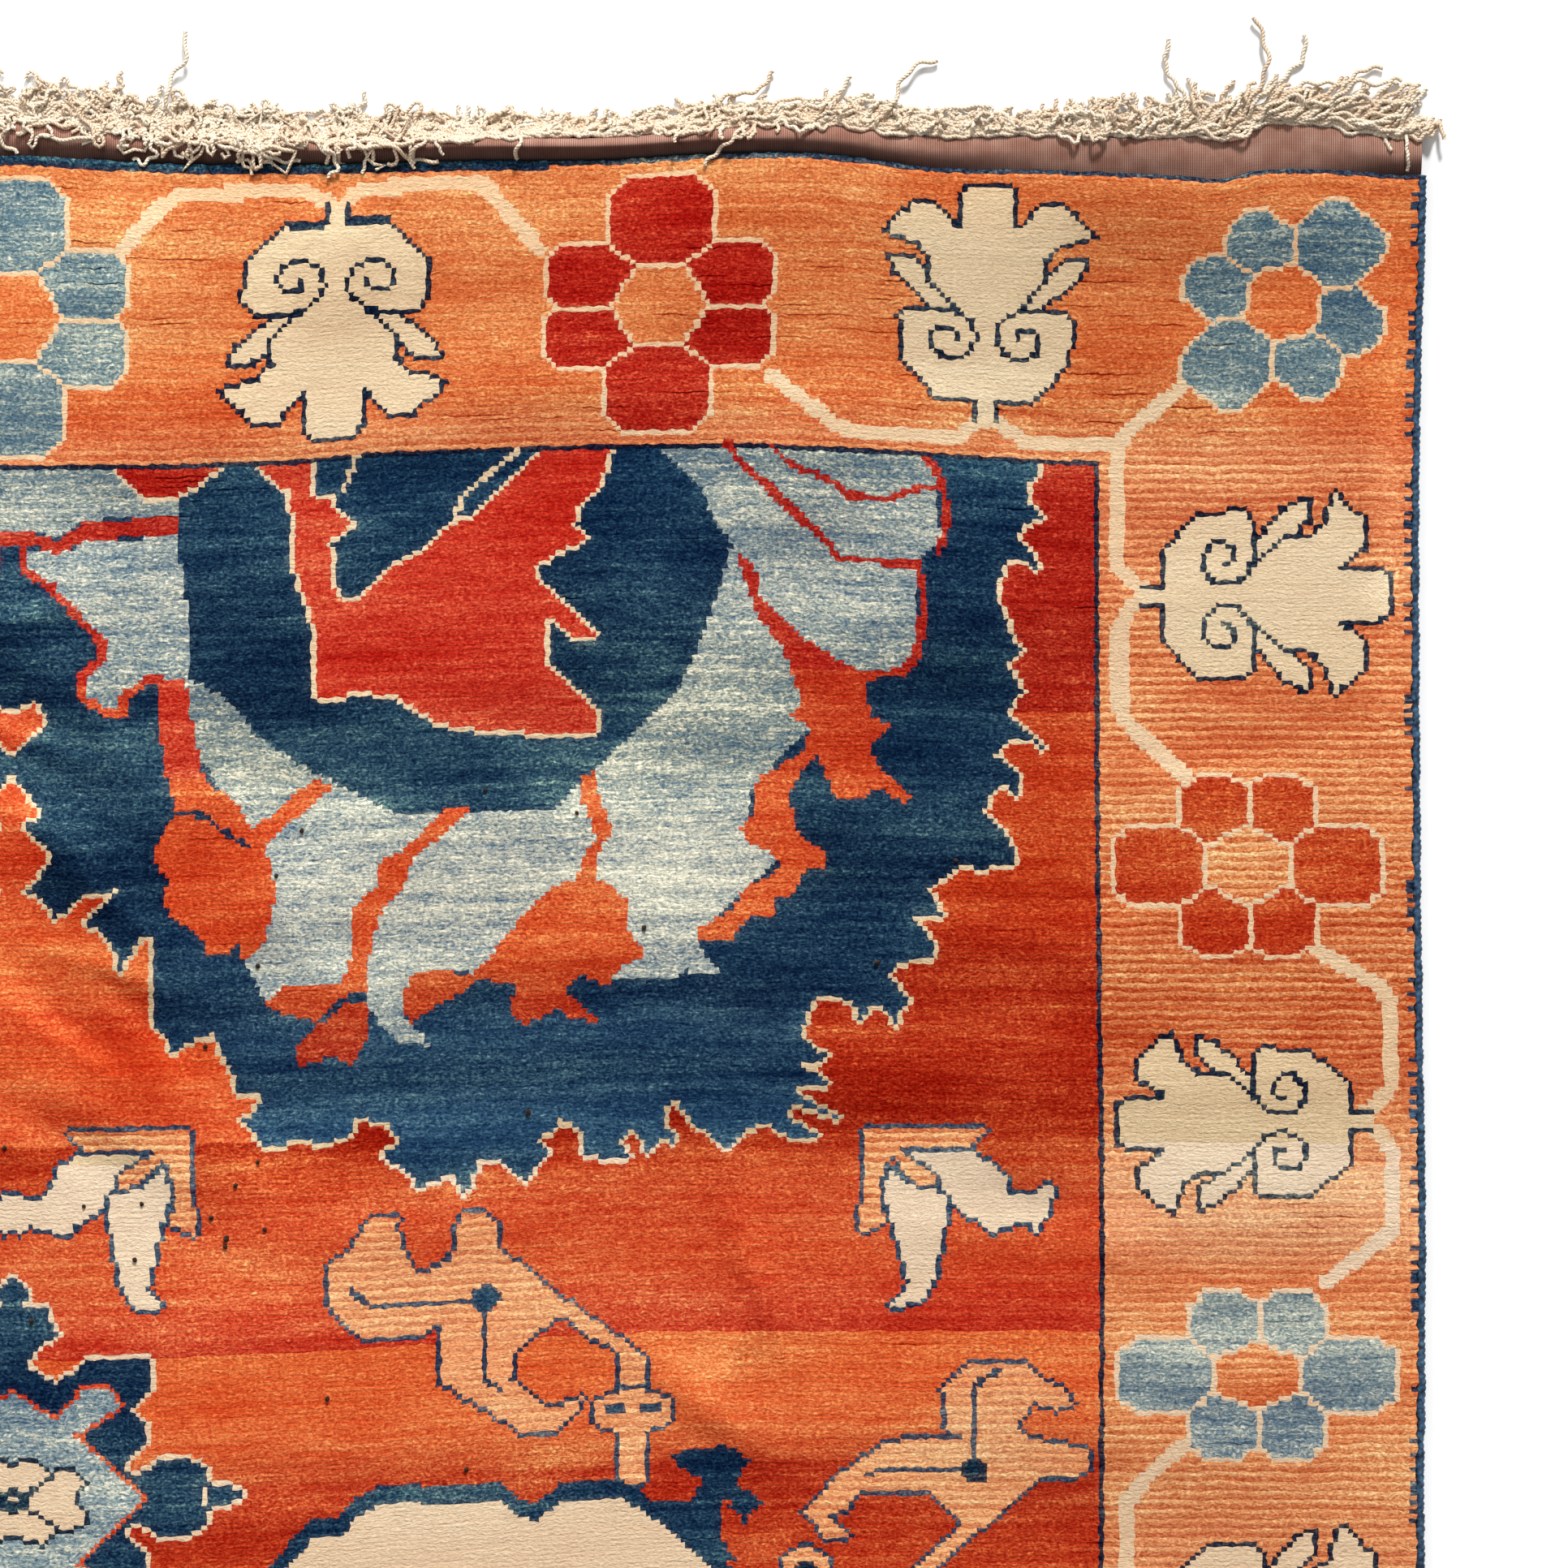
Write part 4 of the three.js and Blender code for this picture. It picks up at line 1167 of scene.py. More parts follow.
pile_wool, tree, shader = new_material("pile_wool", Roughness=1.0, Specular_IOR_Level=0.02)
knot_map = node(tree, "ShaderNodeUVMap", uv_map="knots").outputs["UV"]
parted_here = carried(tree, "parted")
worked = node(tree, "ShaderNodeGroup", {"Knots": knot_map, "Parted": parted_here}, node_tree=knots).outputs
yarn = carried(tree, "yarn_colour", "Color")
families = node(tree, "ShaderNodeSeparateColor", {0: carried(tree, "yarn_family", "Color")})
striped, mottled, pale = families.outputs


def swayed(*parts):
    """The sum of several noises' swings about their middle, each times its amount."""
    total = 0.0
    for label, amount in parts:
        total = plus(total, times(minus(worked[label], 0.5), amount))
    return total


# Light and dark rows in the apricot and peach wool, strongest away from the head end. Each stop is a
# share of the carpet's length from there, and how striped it is.
STRIPED = [(0, 0.15), (0.076, 0.2), (0.086, 1.0), (0.16, 1.0), (0.2, 0.8), (0.245, 0.5), (0.27, 0.6),
           (0.3, 1.0), (0.36, 0.7), (0.5, 0.8), (1, 0.4)]
LIGHT_STRIPE = 0.78
DARK_STRIPE = 0.42
stripes_here = times(ramp(maths("DIVIDE", part(knot_map, "Y"), float(ROWS)), *STRIPED), striped,
                     ramp(worked["Cloud"], (0.35, 0.45), (0.5, 1)))
light_row = times(stripes_here, worked["Stripe"])
colour = mixed("MIX", times(light_row, LIGHT_STRIPE), yarn, wool(244, 170, 114))
colour = mixed("MIX", times(minus(stripes_here, light_row), DARK_STRIPE), colour, wool(192, 82, 42))

# Light blue wool is spun of pale and blue fleece, so its rows are flecked
MOST_FLECKED = 0.75
speckle = swayed(("Fleck", 2.2), ("Streak", 1.3), ("Cloud", 1.2), ("Tips", 2.2), ("Grain", 1.6),
                 ("Knot tone", 0.3), ("Row tone", 0.3))
pale_speck = times(maths("MAXIMUM", speckle, 0.0), mottled)
blue_speck = times(maths("MAXIMUM", times(speckle, -1.0), 0.0), mottled)
colour = mixed("MIX", maths("MINIMUM", pale_speck, MOST_FLECKED), colour, wool(226, 214, 186))
colour = mixed("MIX", maths("MINIMUM", blue_speck, MOST_FLECKED), colour, wool(92, 124, 144))

# Batches, rows and single knots took the dye more or less deeply, pale wool less so. Where the pile parts,
# the cracks between its rows are painted deeper and darker: painted shade. Where the pile faces the head end,
# towards the lamp, its colour is painted lighter, and darker where it faces away: painted light and shade on
# the folds.
PARTING_SHADE_DEPTH = 0.9
PAINTED_FOLD_LIGHT_GAIN = 0.8
LAY_AND_PAINTED_LIGHT_GAIN = 0.3
depth = swayed(("Knot tone", 0.22), ("Row tone", 0.12), ("Streak", 0.85), ("Fleck", 0.6), ("Cloud", 1.5),
               ("Grain", 1.5), ("Tips", 0.8))
# Painted shade in the cracks between the rows where the pile parts
parting_shade = times(worked["Parting"], between(pale, 1.0, 0.0))
depth = minus(times(depth, between(pale, 1.0, 0.35)), times(parting_shade, PARTING_SHADE_DEPTH))
# Painted light: how far the surface leans towards the head end, where the lamp is
painted_fold_light = part(node(tree, "ShaderNodeTexCoord").outputs["Normal"], "Y")
painted_fold_light = node(tree, "ShaderNodeClamp", {"Value": painted_fold_light, "Min": -0.25, "Max": 0.22}).outputs[0]
# Lay patches: partly the pile's own lay, partly painted light and shade
lay_and_painted_light = carried(tree, "lay_and_painted_light")
depth = plus(plus(depth, times(painted_fold_light, PAINTED_FOLD_LIGHT_GAIN)), times(lay_and_painted_light, LAY_AND_PAINTED_LIGHT_GAIN))
channels = node(tree, "ShaderNodeSeparateColor", {0: colour}).outputs
DEPTH_SHARES = (1.0, 1.0, 0.75)
dyed_wool_with_painted_light = node(tree, "ShaderNodeCombineColor", {
    number: maths("POWER", channels[number], minus(1.0, times(depth, share)))
    for number, share in enumerate(DEPTH_SHARES)})

# The fine grain and tone of the knots, with painted shade in the furrows between the rows and at the rims of
# their tufts
fine = between(worked["Grain"], 0.5, 1.5)
for label, low, high in (("Knot tone", 0.92, 1.08), ("Furrow", 0.91, 1.03), ("Tuft", 0.95, 1.02)):
    fine = times(fine, between(worked[label], low, high))
fine = between(times(pale, 0.6), fine, 1.0)
# The painted light and shade of the folds and lay patches, and painted shade where the pile parts, also scale
# the brightness
strength = times(fine, plus(1.0, times(painted_fold_light, PAINTED_FOLD_LIGHT_GAIN)), plus(1.0, times(lay_and_painted_light, LAY_AND_PAINTED_LIGHT_GAIN)),
                 between(parting_shade, 1.0, 0.45), between(parted_here, 1.0, 0.84))
grey = node(tree, "ShaderNodeCombineColor", {0: strength, 1: strength, 2: strength})
colour = mixed("MULTIPLY", 1.0, dyed_wool_with_painted_light.outputs[0], grey.outputs[0])
height = plus(plus(times(worked["Furrow"], 0.2), worked["Grain"]), plus(worked["Tips"], worked["Streak"]))
dress(shader, colour, height, 0.0012, 0.8)

# The back shows the same knots as short bars, flatter and duller
pile_back, tree, shader = new_material("pile_back", Roughness=0.95)
knot_map = node(tree, "ShaderNodeUVMap", uv_map="knots").outputs["UV"]
bars = node(tree, "ShaderNodeGroup", {"Knots": knot_map}, node_tree=knots).outputs
dress(shader, mixed("MIX", bars["Streak"], wool(120, 52, 40), wool(206, 132, 96)), bars["Tuft"], 0.0005)

for name, first_row, last_row in (("pile_head_half", 0, SEAM_ROW), ("pile_foot_half", SEAM_ROW, ROWS)):
    half = pile_piece(name, first_row, last_row, [pile_wool, pile_back])

# Side bindings
# Along each side the two outer warps are overcast with dark blue wool, turn beside turn, into a round
# cord level with the pile's edge. The turns slant a little and are pulled unevenly tight.
GAP = 0.3
BINDING_RADIUS = 4.9
BINDING_FLAT = BINDING_RADIUS * math.cos(math.pi / 8)
TURN_PITCH = 5.5
RINGS_PER_TURN = 4
TURN_DEPTH = 0.2
TURN_SLANT = 0.16
TURN_SIZES = (0.96, 0.1)
BINDING_SIDES = 8
PULL = {"most": 1.6, "rings": 9, "clearance": 0.3, "lift": 0.3}


def closed_tube(rings):
    """Vertices and faces of a tube through rings of points, capped at both ends."""
    count, sides = rings.shape[:2]
    number = np.arange(count * sides).reshape(count, sides)
    turned_on = np.roll(number, -1, 1)
    walls = np.stack([number[:-1], turned_on[:-1], turned_on[1:], number[1:]], -1).reshape(-1, 4)
    return rings.reshape(-1, 3), [*walls.tolist(), number[0, ::-1].tolist(), number[-1].tolist()]


def cord_piece(name, centre, radius_across, radius_up, materials, sides):
    """A closed cord around a level line of points that runs along x or y, in millimetres."""
    ahead = np.gradient(centre, axis=0)
    ahead /= np.linalg.norm(ahead, axis=1)[:, None]
    across = np.stack([ahead[:, 1], -ahead[:, 0], np.zeros(len(ahead))], -1)
    angles = np.arange(sides) * 2 * np.pi / sides
    rings = (centre[:, None] + across[:, None] * (np.cos(angles) * radius_across)[..., None]
             + np.array([0, 0, 1]) * (np.sin(angles) * radius_up)[..., None])
    vertices, faces = closed_tube(rings)
    piece = new_piece(name, (vertices * MM).tolist(), faces, materials)
    piece.data.polygons.foreach_set("use_smooth", [True] * len(faces))
    return piece


binding_wool, tree, shader = new_material("binding_wool", Roughness=0.85, Specular_IOR_Level=0.3,
                                          Sheen_Weight=0.12, Sheen_Roughness=0.4)
place = node(tree, "ShaderNodeTexCoord").outputs["Object"]
# The tone changes from turn to turn, with lighter spots as painted glints
turn_tone_and_glints = ramp(noise(place, 220.0, 3.0), (0.38, 0), (0.7, 1))
worn = times(ramp(noise(place, 14.0, 3.0), (0.55, 0), (0.8, 1)), 0.25)
colour = mixed("MIX", turn_tone_and_glints, wool(20, 38, 60), wool(72, 106, 136))
dress(shader, mixed("MIX", worn, colour, wool(110, 126, 138)), noise(place, 900.0), 0.0006, 0.7)

for side, name in ((1, "right"), (-1, "left")):
    ring_count = int(PILE_LENGTH / TURN_PITCH * RINGS_PER_TURN)
    rows = np.linspace(0, ROWS, ring_count)
    x, y = knot_place(np.full(ring_count, COLUMNS if side > 0 else 0), rows)
    pull = scatter.uniform(-PULL["most"], PULL["most"], ring_count + PULL["rings"] - 1)
    pull = np.convolve(pull, np.ones(PULL["rings"]) / PULL["rings"], "valid")
    centre = np.stack([x + side * (GAP + BINDING_FLAT + PULL["clearance"] + pull), y,
                       BINDING_FLAT + PULL["lift"] * pull], -1)
    angles = np.arange(BINDING_SIDES) * 2 * np.pi / BINDING_SIDES
    turn_phase = np.arange(ring_count)[:, None] / RINGS_PER_TURN + TURN_SLANT * angles
    tight = 1 - TURN_DEPTH * abs(np.cos(np.pi * turn_phase)) ** 3
    uneven = np.repeat(scatter.uniform(-1, 1, ring_count // RINGS_PER_TURN + 1), RINGS_PER_TURN)
    tight = tight * (TURN_SIZES[0] + TURN_SIZES[1] * uneven[:ring_count, None])
    cord = cord_piece("overcast_side_" + name, centre, BINDING_FLAT * tight,
                      BINDING_FLAT * np.minimum(tight, 1), [binding_wool], BINDING_SIDES)
    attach(cord, "root")
    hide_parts("side_binding_" + name)

# Flat-woven ends
# Past the last row of knots the warps run on through a band of weft-faced weave, ribbed along the
# warps. It has shrunk less than the pile, so it buckles up from the floor between its two edges.
BAND_HALF_WIDTH = 1216
BAND_THICKNESS = 2.6
BAND_COLUMNS = 420
BAND_STEPS = 10
BAND_RIPPLE = {"height": 0.5, "length": 31, "only_above": 1}
LIP_FALL = 14
WEFTS = 14
RIB_PITCH = 1.9


class CarpetEnd:
    """One end of the carpet, as seen when standing at it: its table as curves."""

    def __init__(self, name, table, turn):
        """turn: 1 for the end at the top, -1 for the end that is turned half round to it."""
        self.name = name
        self.turn = turn
        for column in ("end", "reach", "arch", "lip", "fringe", "fan", "flop"):
            setattr(self, column, curve(table, "x", column))

    def heading_y(self, x):
        """Where the braided edge of the fringe begins."""
        return self.end(x) + self.reach(x) + 2 * GAP

    def underside(self, x, share):
        """How high the band's underside buckles, at a share of the way from the pile to its outer edge."""
        return self.arch(x) * 4 * share * (1 - share) + self.lip(x) * smooth(share)

    def band_top(self, x, y):
        """Height of what lies under a point: the band, the pile behind it, or the floor in front."""
        share = (y - self.end(x) - GAP) / self.reach(x)
        on_band = self.underside(x, share) + BAND_THICKNESS
        past = self.lip(x) * (1 - smooth((y - self.heading_y(x)) / LIP_FALL))
        return np.where(share < 0, PILE_THICKNESS, np.where(share > 1, past, on_band))


carpet_ends = [CarpetEnd("head", HEAD, 1), CarpetEnd("foot", FOOT, -1)]

flat_weave_wool, tree, shader = new_material("flat_weave_wool", Roughness=0.9, Specular_IOR_Level=0.25,
                                             Sheen_Weight=0.2)
SHADE_BETWEEN_RIBS = (0.42, 0.34, 0.34, 1)
TURNED_BACK_SHADE = (0.36, 0.28, 0.26, 1)
rib_map = node(tree, "ShaderNodeUVMap", uv_map="ribs").outputs["UV"]
rib = maths("ABSOLUTE", maths("SINE", times(part(rib_map, "X"), math.pi)))
weft = maths("ABSOLUTE", maths("SINE", times(part(rib_map, "Y"), math.pi)))
uneven = noise(node(tree, "ShaderNodeTexCoord").outputs["Object"], 60.0, 4.0)
colour = mixed("MIX", ramp(uneven, (0.3, 0), (0.7, 1)), wool(164, 112, 92), wool(194, 148, 128))
# Darker in the grooves between the ribs: painted shade
colour = mixed("MULTIPLY", minus(1.0, rib), colour, SHADE_BETWEEN_RIBS)
# Where the band faces away from the head end, and so from the lamp, its colour is darkened: painted shade. At
# the head end this is the side of the buckle that turns back to the pile.
turned_from_lamp = times(part(node(tree, "ShaderNodeTexCoord").outputs["Normal"], "Y"), -1.0)
colour = mixed("MULTIPLY", ramp(turned_from_lamp, (0.05, 0), (0.4, 1)), colour, TURNED_BACK_SHADE)
dress(shader, colour, plus(rib, times(weft, 0.08)), 0.0008, 0.8)

for carpet_end in carpet_ends:
    x = np.linspace(-BAND_HALF_WIDTH, BAND_HALF_WIDTH, BAND_COLUMNS + 1)[:, None]
    share = np.linspace(0, 1, BAND_STEPS + 1)[None]
    y = carpet_end.end(x) + GAP + carpet_end.reach(x) * share
    low = carpet_end.underside(x, share)
    ripple = BAND_RIPPLE["height"] * np.sin(x / BAND_RIPPLE["length"]) * np.sin(np.pi * share) ** 2
    low = low + ripple * (low > BAND_RIPPLE["only_above"])
    sides = [np.stack([x + 0 * share, y, low + lift], -1) for lift in (BAND_THICKNESS, 0)]
    across = 2 * (BAND_STEPS + 1)
    rings = np.concatenate([sides[0], sides[1][:, ::-1]], 1) * (carpet_end.turn, carpet_end.turn, 1)
    vertices, faces = closed_tube(rings)
    band = new_piece("woven_end_" + carpet_end.name, (vertices * MM).tolist(), faces, [flat_weave_wool])
    rib_place = x[:, :1] / RIB_PITCH + np.zeros((1, across))
    weft_place = np.concatenate([share, share[:, ::-1]], 1) * WEFTS + np.zeros((BAND_COLUMNS + 1, 1))
    loops = np.concatenate([np.array(face) for face in faces])
    ribs_map = np.stack([rib_place, weft_place], -1).reshape(-1, 2)[loops]
    band.data.uv_layers.new(name="ribs").uv.foreach_set("vector", ribs_map.astype(np.float32).ravel())
    band.data.polygons.foreach_set("use_smooth", [True] * (len(faces) - 2) + [False] * 2)
    band.data.set_sharp_from_angle(angle=SHARP_ANGLE)
    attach(band, "root")
    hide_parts("flat_weave_" + carpet_end.name)

# Fringes
# Beyond the band the warps, cream cotton, are braided into an edge and go on as a fringe of loose
# two-ply strands. Walked on and washed, it has curled, tangled, and in places fallen back on the band.
HEADING_WIDTH = 6
HEADING_HEIGHT = 4
HEADING_SIDES = 6
HEADING_RINGS = 1300
BRAID = {"pitch": 8, "depth": 0.25, "sway": 0.8}
STRAND_PITCH = {"head": 2.1, "foot": 3.2}
STRAND_RADIUS = 1.85
PLY_TURN = 6.5
STRAND_POINTS = {"head": 30, "foot": 22}
TAPER = {"at": (0, 0.06, 0.85, 1), "thickness": (0.7, 1, 0.95, 0.45)}
# reach: the shortest and longest, as shares of the fringe's length. lean: how far strands scatter, in
# radians, and what tangling adds. curl: the same, and what lying over the band adds.
STRANDS = {"reach": (0.5, 1.02), "lean": (0.22, 0.6), "most_lean": 1.4, "curl": (0.35, 0.8, 0.6),
           "uneven": (0.5, 1.3), "apart": (-0.35, 0.35)}
# Two waves curl a strand: how many go into its length, how much finer the second is, and their swings
CURLS = {"waves": (0.7, 1.5), "finer": [1, 4], "swing": [0.9, 0.75], "from": 0.12}
# How strands pile up. They leave the braid within a share of their length, and sink again from another.
LAYERS = {"height": 7, "crowding": 1.3, "bounce": 0.5, "waves": (1.5, 3), "clearance": 0.2, "leave": 0.15,
          "sink_from": 0.6, "sink_by": 0.6, "root": 0.6, "blur": 5, "press": 0.8, "highest": 28}
# Some strands lie matted along the edge: the share of them where the fringe is tangled, and how much of
# it where it isn't, the share on each side, their angle and what lying over the band adds to it, in
# degrees, their curl, length and height in the layers
MATS = {"share": 0.4, "untangled": 0.4, "sides": [0.35, 0.65], "angle": 80, "over_band": 34,
        "curl": 0.45, "length": (55, 95), "layer": 0.3}
# Broken strands, short and untwisted, lie thick under the long ones
SHORT = {"pitch": 2.8, "length": 0.6, "points": 9, "thickness": 1.6, "layer": 0.1}
CORNER_FROM = 1180
CORNER_OVER = 62
# A strand that falls back turns round, by radians, within its first millimetres of so many
FALL_BACK = {"share": 1.15, "from": 8, "over": 22, "length": 70, "turn": 2.5, "uneven": (0.55, 1.25),
             "reach": (12, 40)}
STRAY_CURL = 0.55
# How tangled the fringe is, 0 to 1, at places along each end
TANGLE = {
    "head": [(-1200, 0.4), (-900, 0.9), (-500, 0.5), (0, 0.9), (300, 1), (430, 0.6), (560, 0.5), (700, 0.5),
             (900, 0.8), (1030, 0.45), (1100, 0.25), (1200, 0.2)],
    "foot": [(-1200, 0.4), (-700, 0.9), (-200, 0.5), (300, 0.9), (800, 0.5), (1200, 0.3)],
}
STRAYS = {
    "head": table_of("x length fan", (-820, 80, 14), (-300, 68, -10), (140, 84, 10), (590, 48, 60),
                     (730, 56, 48), (650, 44, 66), (1010, 82, -12), (1058, 92, 6), (1090, 74, 24),
                     (1206, 56, 96)),
    "foot": table_of("x length fan", (-900, 82, -2), (320, 74, 10), (1010, 86, 8)),
}

fringe_cotton, tree, shader = new_material("fringe_cotton", Roughness=0.9, Specular_IOR_Level=0.15,
                                           Sheen_Weight=0.12, Sheen_Roughness=0.5)
SOIL_AND_GROOVE_SHADE = (0.74, 0.62, 0.5, 1)
place = node(tree, "ShaderNodeTexCoord").outputs["Object"]
around = carried(tree, "yarn_around", "Vector")
angle = maths("ARCTAN2", part(around, "Y"), part(around, "X"))
twist = minus(angle, times(carried(tree, "yarn_run"), 2 * math.pi / (PLY_TURN * MM)))
ply = maths("ABSOLUTE", maths("SINE", twist))
colour = mixed("MIX", carried(tree, "strand_tone"), wool(240, 212, 182), wool(253, 238, 214))
# Soiled patches in the cotton
colour = mixed("MULTIPLY", ramp(noise(place, 70.0, 3.0), (0.5, 0), (0.85, 0.35)), colour, SOIL_AND_GROOVE_SHADE)
# Darker in the grooves between the plies: painted shade
colour = mixed("MULTIPLY", ramp(ply, (0.05, 0.5), (0.5, 0)), colour, SOIL_AND_GROOVE_SHADE)
dress(shader, colour, plus(times(ply, 0.9), times(noise(place, 1100.0, 3.0), 0.8)), 0.001, 0.9)


def stored(tree, shape, name, value, kind, domain):
    """Geometry that carries a value under a name."""
    return node(tree, "GeometryNodeStoreNamedAttribute", {"Geometry": shape, "Name": name, "Value": value},
                data_type=kind, domain=domain).outputs[0]


def strand_maker():
    """Geometry nodes that wrap every line in a round yarn and note where its plies run."""
    tree = bpy.data.node_groups.new("twisted_strands", "GeometryNodeTree")
    tree.interface.new_socket("Geometry", in_out="INPUT", socket_type="NodeSocketGeometry")
    radius = tree.interface.new_socket("Yarn radius", in_out="INPUT", socket_type="NodeSocketFloat")
    radius.default_value = STRAND_RADIUS * MM
    tree.interface.new_socket("Cotton", in_out="INPUT", socket_type="NodeSocketMaterial")
    tree.interface.new_socket("Geometry", in_out="OUTPUT", socket_type="NodeSocketGeometry")
    given = tree.nodes.new("NodeGroupInput").outputs
    done = tree.nodes.new("NodeGroupOutput").inputs
    random = node(tree, "FunctionNodeRandomValue", data_type="FLOAT")
    random.inputs["Seed"].default_value = 3
    shade = next(s for s in random.outputs if s.enabled)
    lines = stored(tree, given["Geometry"], "strand_tone", shade, "FLOAT", "CURVE")
    run = node(tree, "GeometryNodeSplineParameter").outputs["Length"]
    lines = stored(tree, lines, "yarn_run", run, "FLOAT", "POINT")
    ring = node(tree, "GeometryNodeCurvePrimitiveCircle", {"Resolution": 4, "Radius": given["Yarn radius"]})
    outward = node(tree, "GeometryNodeInputPosition").outputs[0]
    ring = stored(tree, ring.outputs["Curve"], "yarn_around", outward, "FLOAT_VECTOR", "POINT")
    yarn = node(tree, "GeometryNodeCurveToMesh", {"Curve": lines, "Profile Curve": ring, "Fill Caps": True})
    smoothed = node(tree, "GeometryNodeSetShadeSmooth", {"Geometry": yarn.outputs[0]})
    real = node(tree, "GeometryNodeRealizeInstances", {"Geometry": smoothed.outputs[0]})
    dressed = node(tree, "GeometryNodeSetMaterial", {
        "Geometry": real.outputs[0], "Material": given["Cotton"]})
    tree.links.new(dressed.outputs[0], done["Geometry"])
    return tree


twisted_strands = strand_maker()


def strand_headings(draw, share, lean, curl, falls, mats):
    """Which way strands run along their length, in radians from straight out, and the curls' phases."""
    count = len(lean)
    waves = draw.uniform(*CURLS["waves"], (2, count, 1)) * np.array(CURLS["finer"])[:, None, None]
    phases = draw.uniform(0, 2 * np.pi, (2, count, 1))
    swing = np.array(CURLS["swing"])[:, None, None] * np.where(mats, MATS["curl"], curl)[None, :, None]
    heading = lean[:, None] * smooth(share / 0.1 + 0.3)
    curls = swing * np.sin(2 * np.pi * waves * share + phases) * smooth(share / CURLS["from"])
    heading = heading + curls.sum(0)
    turn_back = FALL_BACK["turn"] * draw.choice([-1, 1], count)
    turn_back = turn_back * draw.uniform(*FALL_BACK["uneven"], count) * falls
    start, over = FALL_BACK["from"] / FALL_BACK["length"], FALL_BACK["over"] / FALL_BACK["length"]
    return heading + turn_back[:, None] * smooth((share - start) / over), phases[0]


def strand_paths(draw, carpet_end, x, heading, reach, falls, mats, shortened):
    """Where strands run as seen from above, from their roots in the braided edge. They crowd at a corner."""
    count, points = heading.shape
    step_x = np.cumsum(np.sin(heading), 1)
    step_y = np.cumsum(np.cos(heading), 1)
    step_x, step_y = step_x - step_x[:, :1], step_y - step_y[:, :1]
    far = np.where(falls, np.hypot(step_x, step_y).max(1), np.maximum(step_y.max(1), 0.45 * points))
    scale = np.where(falls, draw.uniform(*FALL_BACK["reach"], count), reach) / far
    scale = np.where(mats, draw.uniform(*MATS["length"], count) * shortened / points, scale)
    line_x = x[:, None] + step_x * scale[:, None]
    root_y = carpet_end.heading_y(x) + HEADING_WIDTH / 2
    line_y = root_y[:, None] + step_y * scale[:, None]
    past = np.maximum(abs(line_x) - CORNER_FROM, 0)
    past = CORNER_OVER * (1 - np.exp(-past / CORNER_OVER))
    return np.sign(line_x) * (np.minimum(abs(line_x), CORNER_FROM) + past), line_y


def strand_heights(draw, carpet_end, x, lines, share, phases, mats, flattened):
    """How high strands lie, over what is under them and over one another."""
    count = len(x)
    layer = np.where(mats, MATS["layer"], draw.uniform(0, 1, count) ** LAYERS["crowding"])[:, None]
    layer = layer * LAYERS["height"] * flattened
    waves = draw.uniform(*LAYERS["waves"], (count, 1))
    bounce = 1 + LAYERS["bounce"] * np.sin(2 * np.pi * waves * share + phases)
    under = carpet_end.band_top(*lines)
    sunk = smooth((share - LAYERS["sink_from"]) / (1 - LAYERS["sink_from"]))
    rise = layer * bounce * smooth(share / LAYERS["leave"]) * (1 - LAYERS["sink_by"] * sunk)
    root_z = carpet_end.lip(x) + HEADING_HEIGHT * LAYERS["root"]
    z = under + STRAND_RADIUS + LAYERS["clearance"] + rise
    z[:, 0] = root_z
    blur = np.ones(LAYERS["blur"]) / LAYERS["blur"]
    padded_z = np.pad(z, ((0, 0), (LAYERS["blur"] // 2,) * 2), mode="edge")
    softened = np.stack([np.convolve(line, blur, "valid") for line in padded_z])
    z = np.maximum(softened, under + STRAND_RADIUS * LAYERS["press"])
    z[:, 0] = root_z
    return np.minimum(z, LAYERS["highest"])


def strand_lines(carpet_end, low_x, high_x, points, seed, short=False):
    """Where every strand from one stretch of the heading runs, as points in millimetres."""
    draw = np.random.default_rng(seed)
    count = int((high_x - low_x) / (SHORT["pitch"] if short else STRAND_PITCH[carpet_end.name]))
    x = low_x + (np.arange(count) + 0.5 + draw.uniform(*STRANDS["apart"], count)) * (high_x - low_x) / count
    tangle = np.interp(x, *zip(*TANGLE[carpet_end.name]))
    flop = carpet_end.flop(x)
    shortened = SHORT["length"] if short else 1
    reach = carpet_end.fringe(x) * draw.uniform(*STRANDS["reach"], count) * shortened
    scatter_of_lean = STRANDS["lean"][0] + STRANDS["lean"][1] * tangle
    lean = np.radians(carpet_end.fan(x)) + draw.normal(0, 1, count) * scatter_of_lean
    least, by_tangle, by_flop = STRANDS["curl"]
    curl = (least + by_tangle * tangle + by_flop * flop) * draw.uniform(*STRANDS["uneven"], count)
    falls = draw.uniform(0, 1, count) < FALL_BACK["share"] * flop
    matted = MATS["untangled"] + (1 - MATS["untangled"]) * tangle
    mats = draw.uniform(0, 1, count) < MATS["share"] * matted
    falls &= ~mats
    side = draw.choice([-1, 1], count, p=MATS["sides"])
    sideways = side * np.radians(MATS["angle"] + MATS["over_band"] * flop * draw.uniform(0, 1, count))
    lean = np.where(mats, sideways, np.clip(lean, -STRANDS["most_lean"], STRANDS["most_lean"]))
    for stray in STRAYS[carpet_end.name]:
        if low_x <= stray["x"] < high_x and not short:
            nearest = int(np.argmin(abs(x - stray["x"])))
            reach[nearest] = stray["length"]
            lean[nearest] = math.radians(stray["fan"])
            curl[nearest] = STRAY_CURL
            falls[nearest] = mats[nearest] = False
    share = np.linspace(0, 1, points)[None]
    heading, phases = strand_headings(draw, share, lean, curl, falls, mats)
    lines = strand_paths(draw, carpet_end, x, heading, reach, falls, mats, shortened)
    flattened = SHORT["layer"] if short else 1
    z = strand_heights(draw, carpet_end, x, lines, share, phases, mats, flattened)
    return np.stack([carpet_end.turn * lines[0], carpet_end.turn * lines[1], z], -1)


